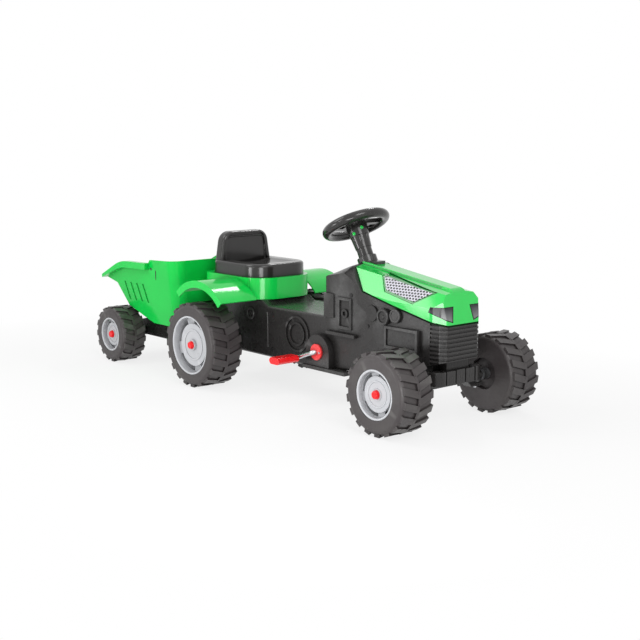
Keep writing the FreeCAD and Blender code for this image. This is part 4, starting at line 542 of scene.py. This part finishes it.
def edge_width(name):
    if "tyre" in name:
        return TYRE_EDGE
    if "rim" in name:
        return RIM_EDGE
    return EDGE_WIDTHS.get(name, 0.0)


def soften(thing, width):
    """Rounds a solid's edges, where it has a width, and evens its shading."""
    weld = thing.modifiers.new("weld", "WELD")
    weld.merge_threshold = WELD_REACH
    if width:
        bevel = thing.modifiers.new("soft_edges", "BEVEL")
        bevel.width = width
        bevel.segments = BEVEL_SEGMENTS
        bevel.limit_method = "ANGLE"
        bevel.angle_limit = CREASE_ANGLE
        bevel.use_clamp_overlap = True
    shade = thing.modifiers.new("smooth", "NODES")
    shade.node_group = smooth
    normals = thing.modifiers.new("even_normals", "WEIGHTED_NORMAL")
    normals.keep_sharp = True


for name, thing in nodes.items():
    soften(thing, edge_width(name))


# Small forms that stand on the solids

SIDES = (("right", -1), ("left", 1))


def piece(name, shape, body, look):
    data = bpy.data.meshes.new(name)
    bmesh.ops.recalc_face_normals(shape, faces=shape.faces)
    shape.to_mesh(data)
    shape.free()
    data.materials.append(look)
    thing = bpy.data.objects.new(name, data)
    scene.collection.objects.link(thing)
    thing.modifiers.new("smooth", "NODES").node_group = smooth
    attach(thing, body)


def skin(shape, rings):
    """Joins rings of equally many vertices and closes both ends."""
    for first, second in zip(rings, rings[1:]):
        for i in range(len(first)):
            shape.faces.new((first[i - 1], first[i], second[i], second[i - 1]))
    shape.faces.new(rings[0])
    shape.faces.new(rings[-1])


def ring(shape, centre, side, across, radius, steps):
    """A ring of vertices in the plane of two directions."""
    turns = [2 * math.pi * step / steps for step in range(steps)]
    return [shape.verts.new(centre + (side * math.cos(turn) + across * math.sin(turn)) * radius)
            for turn in turns]


def lathe(shape, profile, centre, axis, steps=40):
    """Turns (radius, height) pairs round an axis through the centre."""
    up = Vector(axis).normalized()
    side = up.orthogonal().normalized()
    across = up.cross(side)
    skin(shape, [ring(shape, Vector(centre) + up * height, side, across, radius, steps)
                 for radius, height in profile])


def bend(corners, radius, steps=6):
    """A path through the corners, with the inner ones rounded."""
    spots = [Vector(corner) for corner in corners]
    path = [spots[0]]
    for before, corner, after in zip(spots, spots[1:], spots[2:]):
        start = corner + (before - corner).normalized() * radius
        end = corner + (after - corner).normalized() * radius
        for step in range(steps + 1):
            share = step / steps
            path.append(start.lerp(corner, share).lerp(corner.lerp(end, share), share))
    return path + [spots[-1]]


def bead(shape, path, radius, steps=12):
    """A round bead along a path."""
    rings = []
    side = (path[1] - path[0]).orthogonal().normalized()
    for i, spot in enumerate(path):
        along = (path[min(i + 1, len(path) - 1)] - path[max(i - 1, 0)]).normalized()
        side = (side - along * side.dot(along)).normalized()
        rings.append(ring(shape, spot, side, along.cross(side), radius, steps))
    skin(shape, rings)


def hub_dots():
    """Two green studs on the flank of the steering wheel's hub."""
    profile = ((0.0046, -0.001), (0.0046, 0.0006), (0.0041, 0.0013), (0.0028, 0.0019), (0.0010, 0.0022))
    side_place = (0.2891, -0.0252, 0.4488)
    side_normal = (0.324, -0.944, 0.068)
    front_place = (0.3004, -0.0085, 0.4658)
    front_normal = (0.890, -0.291, 0.350)
    shape = bmesh.new()
    lathe(shape, profile, side_place, side_normal, steps=24)
    lathe(shape, profile, front_place, front_normal, steps=24)
    piece("hub_dots", shape, "steering", green)


def filter_covers():
    """The ring and the cap on the engine's right side, and the same on the left."""
    ring_profile = (
        (0.0205, -0.003), (0.0205, 0.0025), (0.0195, 0.0040), (0.0150, 0.0040), (0.0140, 0.0030),
        (0.0140, 0.0010), (0.0060, 0.0010), (0.0050, 0.0022), (0.0010, 0.0024),
    )
    cap_profile = (
        (0.0175, -0.003), (0.0175, 0.0070), (0.0160, 0.0085), (0.0120, 0.0085), (0.0110, 0.0075),
        (0.0010, 0.0075),
    )
    ring_x = hood_low.x + 0.1486
    ring_off = 0.092
    ring_height = hood_low.z + 0.0079
    cap_x = hood_low.x + 0.1862
    cap_off = 0.0821
    cap_height = hood_low.z + 0.0140
    # The engine narrows towards the nose, so the cap looks a little forward.
    cap_ahead = 0.075
    cap_outward = 0.997
    for name, side in SIDES:
        shape = bmesh.new()
        lathe(shape, ring_profile, (ring_x, side * ring_off, ring_height), (0, side, 0))
        lathe(shape, cap_profile, (cap_x, side * cap_off, cap_height), (cap_ahead, side * cap_outward, 0))
        piece("filter_covers_" + name, shape, "chassis", black)


def side_bosses():
    """The stepped round boss and the upright rib low on each flank of the body."""
    boss_profile = (
        (0.0170, -0.003), (0.0170, 0.0028), (0.0160, 0.0040), (0.0120, 0.0040), (0.0110, 0.0030),
        (0.0110, 0.0016), (0.0070, 0.0016), (0.0060, 0.0034), (0.0010, 0.0036),
    )
    boss_x = body_low.x + 0.176
    boss_off = 0.088
    boss_height = body_low.z + 0.115
    rib_x = body_low.x + 0.254
    rib_top_x = body_low.x + 0.250
    rib_off = 0.0885
    rib_end_off = 0.087
    rib_radius = 0.0032
    rib_bend = 0.004
    foot, low, high, top = (body_low.z + rise for rise in (0.030, 0.036, 0.117, 0.126))
    for name, side in SIDES:
        shape = bmesh.new()
        lathe(shape, boss_profile, (boss_x, side * boss_off, boss_height), (0, side, 0))
        corners = (
            (rib_x, side * rib_end_off, foot),
            (rib_x, side * rib_off, low),
            (rib_x, side * rib_off, high),
            (rib_top_x, side * rib_end_off, top),
        )
        bead(shape, bend(corners, rib_bend), rib_radius)
        piece("side_bosses_" + name, shape, "chassis", black)


def seat_piping():
    """The bead round the front of the backrest."""
    x = seat_low.x + 0.030
    half = seat_high.y - 0.028
    foot = seat_low.z + 0.032
    top = seat_high.z - 0.015
    corner_radius = 0.024
    bead_radius = 0.0022
    shape = bmesh.new()
    corners = ((x, -half, foot), (x, -half, top), (x, half, top), (x, half, foot))
    bead(shape, bend(corners, corner_radius, steps=10), bead_radius)
    piece("seat_piping", shape, "chassis", black_gloss)


def tub_catches():
    """The eyelet and the upright catch on each side of the tub, near its front."""
    eyelet_profile = (
        (0.0042, -0.002), (0.0042, 0.0006), (0.0036, 0.0010), (0.0026, 0.0010), (0.0022, 0.0004),
        (0.0006, 0.0004),
    )
    # Behind the tub's front, off its middle and below its rim.
    eyelet = (0.1228, 0.1862, 0.0322)
    catch = ((0.0990, 0.1848, 0.0350), (0.0992, 0.1850, 0.0380),
             (0.1030, 0.1822, 0.0610), (0.1034, 0.1812, 0.0634))
    # The tub's side leans outward towards its rim, so it looks a little down.
    outward = 0.993
    downward = 0.119
    catch_bend = 0.002
    catch_radius = 0.0019
    for name, side in SIDES:
        centre, *corners = [(tub_high.x - back, side * off, tub_high.z - drop)
                            for back, off, drop in (eyelet, *catch)]
        shape = bmesh.new()
        lathe(shape, eyelet_profile, centre, (0, side * outward, -downward), steps=24)
        bead(shape, bend(corners, catch_bend), catch_radius)
        piece("tub_catches_" + name, shape, "trailer", black)


hub_dots()
filter_covers()
side_bosses()
seat_piping()
tub_catches()


# Floor, light and camera

FLOOR_HALF_SIZE = 30.0
FLOOR_DROP = 0.0005
# Round this half length and half width the floor keeps its shadow, and farther off it turns white.
SHADOW_HALF_LENGTH = 0.75
SHADOW_HALF_WIDTH = 0.30
WHITE_SHARE_NEAR = 0.80
WHITE_SHARE_FAR = 1.0
WHITE_START = 0.05
WHITE_END = 0.80
SKY_LIGHT = 0.38
SKY_SEEN = 1.0

CAMERA_SENSOR_MM = 36.0
CAMERA_LENS_MM = 66.3
CAMERA_PLACE = (2.5597, -2.0952, 0.7184)
CAMERA_DOWN_DEGREES = 9.2
CAMERA_TURN_DEGREES = 49.3


def floor():
    """A pale floor that is white for the camera and for mirrored or bent rays, apart from the shadow."""
    data = bpy.data.meshes.new("floor")
    shape = bmesh.new()
    bmesh.ops.create_grid(shape, x_segments=2, y_segments=2, size=FLOOR_HALF_SIZE)
    shape.to_mesh(data)
    shape.free()
    thing = bpy.data.objects.new("floor", data)
    scene.collection.objects.link(thing)
    thing.location.z = cad_box[0].z - FLOOR_DROP
    look = Look("pale_floor")
    pale = look.mix(look.noise(scale=3.0), (0.86, 0.86, 0.86), (0.90, 0.90, 0.90))
    look.set(Base_Color=pale, Roughness=0.8)
    glow = look.add("ShaderNodeEmission")
    glow.inputs["Strength"].default_value = 1.0
    rays = look.add("ShaderNodeLightPath")
    seen = rays.outputs["Is Camera Ray"]
    for kind in ("Is Glossy Ray", "Is Transmission Ray"):
        seen = look.math("MAXIMUM", seen, rays.outputs[kind])
    x, y, _ = look.axes()
    squares = []
    for value, half in ((x, SHADOW_HALF_LENGTH), (y, SHADOW_HALF_WIDTH)):
        beyond = look.math("MAXIMUM", look.math("SUBTRACT", look.math("ABSOLUTE", value), half), 0.0)
        squares.append(look.math("POWER", beyond, 2.0))
    away = look.math("SQRT", look.math("ADD", *squares))
    white = look.spread(away, WHITE_SHARE_NEAR, WHITE_SHARE_FAR, WHITE_START, WHITE_END)
    blend = look.add("ShaderNodeMixShader")
    look.link(look.math("MULTIPLY", seen, white), blend.inputs[0])
    look.link(look.shader.outputs[0], blend.inputs[1])
    look.link(glow.outputs[0], blend.inputs[2])
    look.link(blend.outputs[0], look.tree.nodes["Material Output"].inputs["Surface"])
    data.materials.append(look.material)


def world():
    """A white sky that is full for the camera and for mirrored or bent rays, and dimmer as a light."""
    sky = bpy.data.worlds.new("studio")
    scene.world = sky
    sky.use_nodes = True
    tree = sky.node_tree
    back = tree.nodes["Background"]
    back.inputs["Color"].default_value = (1.0, 1.0, 1.0, 1.0)
    rays = tree.nodes.new("ShaderNodeLightPath")
    seen = rays.outputs["Is Camera Ray"]
    for kind in ("Is Glossy Ray", "Is Transmission Ray"):
        wider = tree.nodes.new("ShaderNodeMath")
        wider.operation = "MAXIMUM"
        tree.links.new(seen, wider.inputs[0])
        tree.links.new(rays.outputs[kind], wider.inputs[1])
        seen = wider.outputs[0]
    level = tree.nodes.new("ShaderNodeMapRange")
    level.inputs["To Min"].default_value = SKY_LIGHT
    level.inputs["To Max"].default_value = SKY_SEEN
    tree.links.new(seen, level.inputs["Value"])
    tree.links.new(level.outputs["Result"], back.inputs["Strength"])


def softbox(name, place, target, width, height, power, shape="RECTANGLE"):
    """An area lamp that looks from its place at a target."""
    data = bpy.data.lights.new(name, "AREA")
    data.shape = shape
    data.size = width
    data.size_y = height
    data.energy = power
    thing = bpy.data.objects.new(name, data)
    scene.collection.objects.link(thing)
    thing.visible_camera = False
    thing.location = place
    thing.rotation_mode = "QUATERNION"
    thing.rotation_quaternion = (Vector(target) - Vector(place)).to_track_quat("-Z", "Y")


def lamps():
    # Three strips give the long highlights on the seat and the steering column.
    softbox("side_strip", place=(-0.33, -1.58, 0.17), target=(-0.07, -0.1, 0.17),
            width=0.45, height=0.33, power=4.5)
    softbox("corner_strip", place=(1.12, -1.03, 0.17), target=(-0.04, -0.08, 0.17),
            width=0.50, height=0.33, power=4.5)
    softbox("column_strip", place=(0.10, -1.53, 0.78), target=(0.31, -0.02, 0.40),
            width=0.12, height=0.45, power=1.8)
    # Two boxes are mirrored in the hood and in the near fender.
    softbox("hood_box", place=(-0.72, -1.02, 1.60), target=(0.45, -0.08, 0.33),
            width=0.80, height=0.80, power=7.5)
    softbox("fender_box", place=(-0.71, 1.33, 2.13), target=(-0.06, -0.17, 0.28),
            width=0.46, height=0.30, power=7.0, shape="ELLIPSE")
    softbox("front_key", place=(2.30, -0.90, 1.90), target=(0.20, 0.0, 0.25),
            width=1.2, height=1.2, power=24.0)
    softbox("top", place=(0.2, 0.4, 3.0), target=(0.0, 0.0, 0.2),
            width=2.4, height=2.4, power=8.0)


def camera():
    """The camera that was fitted to the photograph."""
    data = bpy.data.cameras.new("camera")
    data.sensor_width = CAMERA_SENSOR_MM
    data.lens = CAMERA_LENS_MM
    thing = bpy.data.objects.new("camera", data)
    scene.collection.objects.link(thing)
    thing.location = CAMERA_PLACE
    thing.rotation_euler = (math.radians(90 - CAMERA_DOWN_DEGREES), 0.0, math.radians(CAMERA_TURN_DEGREES))
    scene.camera = thing


floor()
world()
lamps()
camera()
scene.view_settings.view_transform = "Standard"
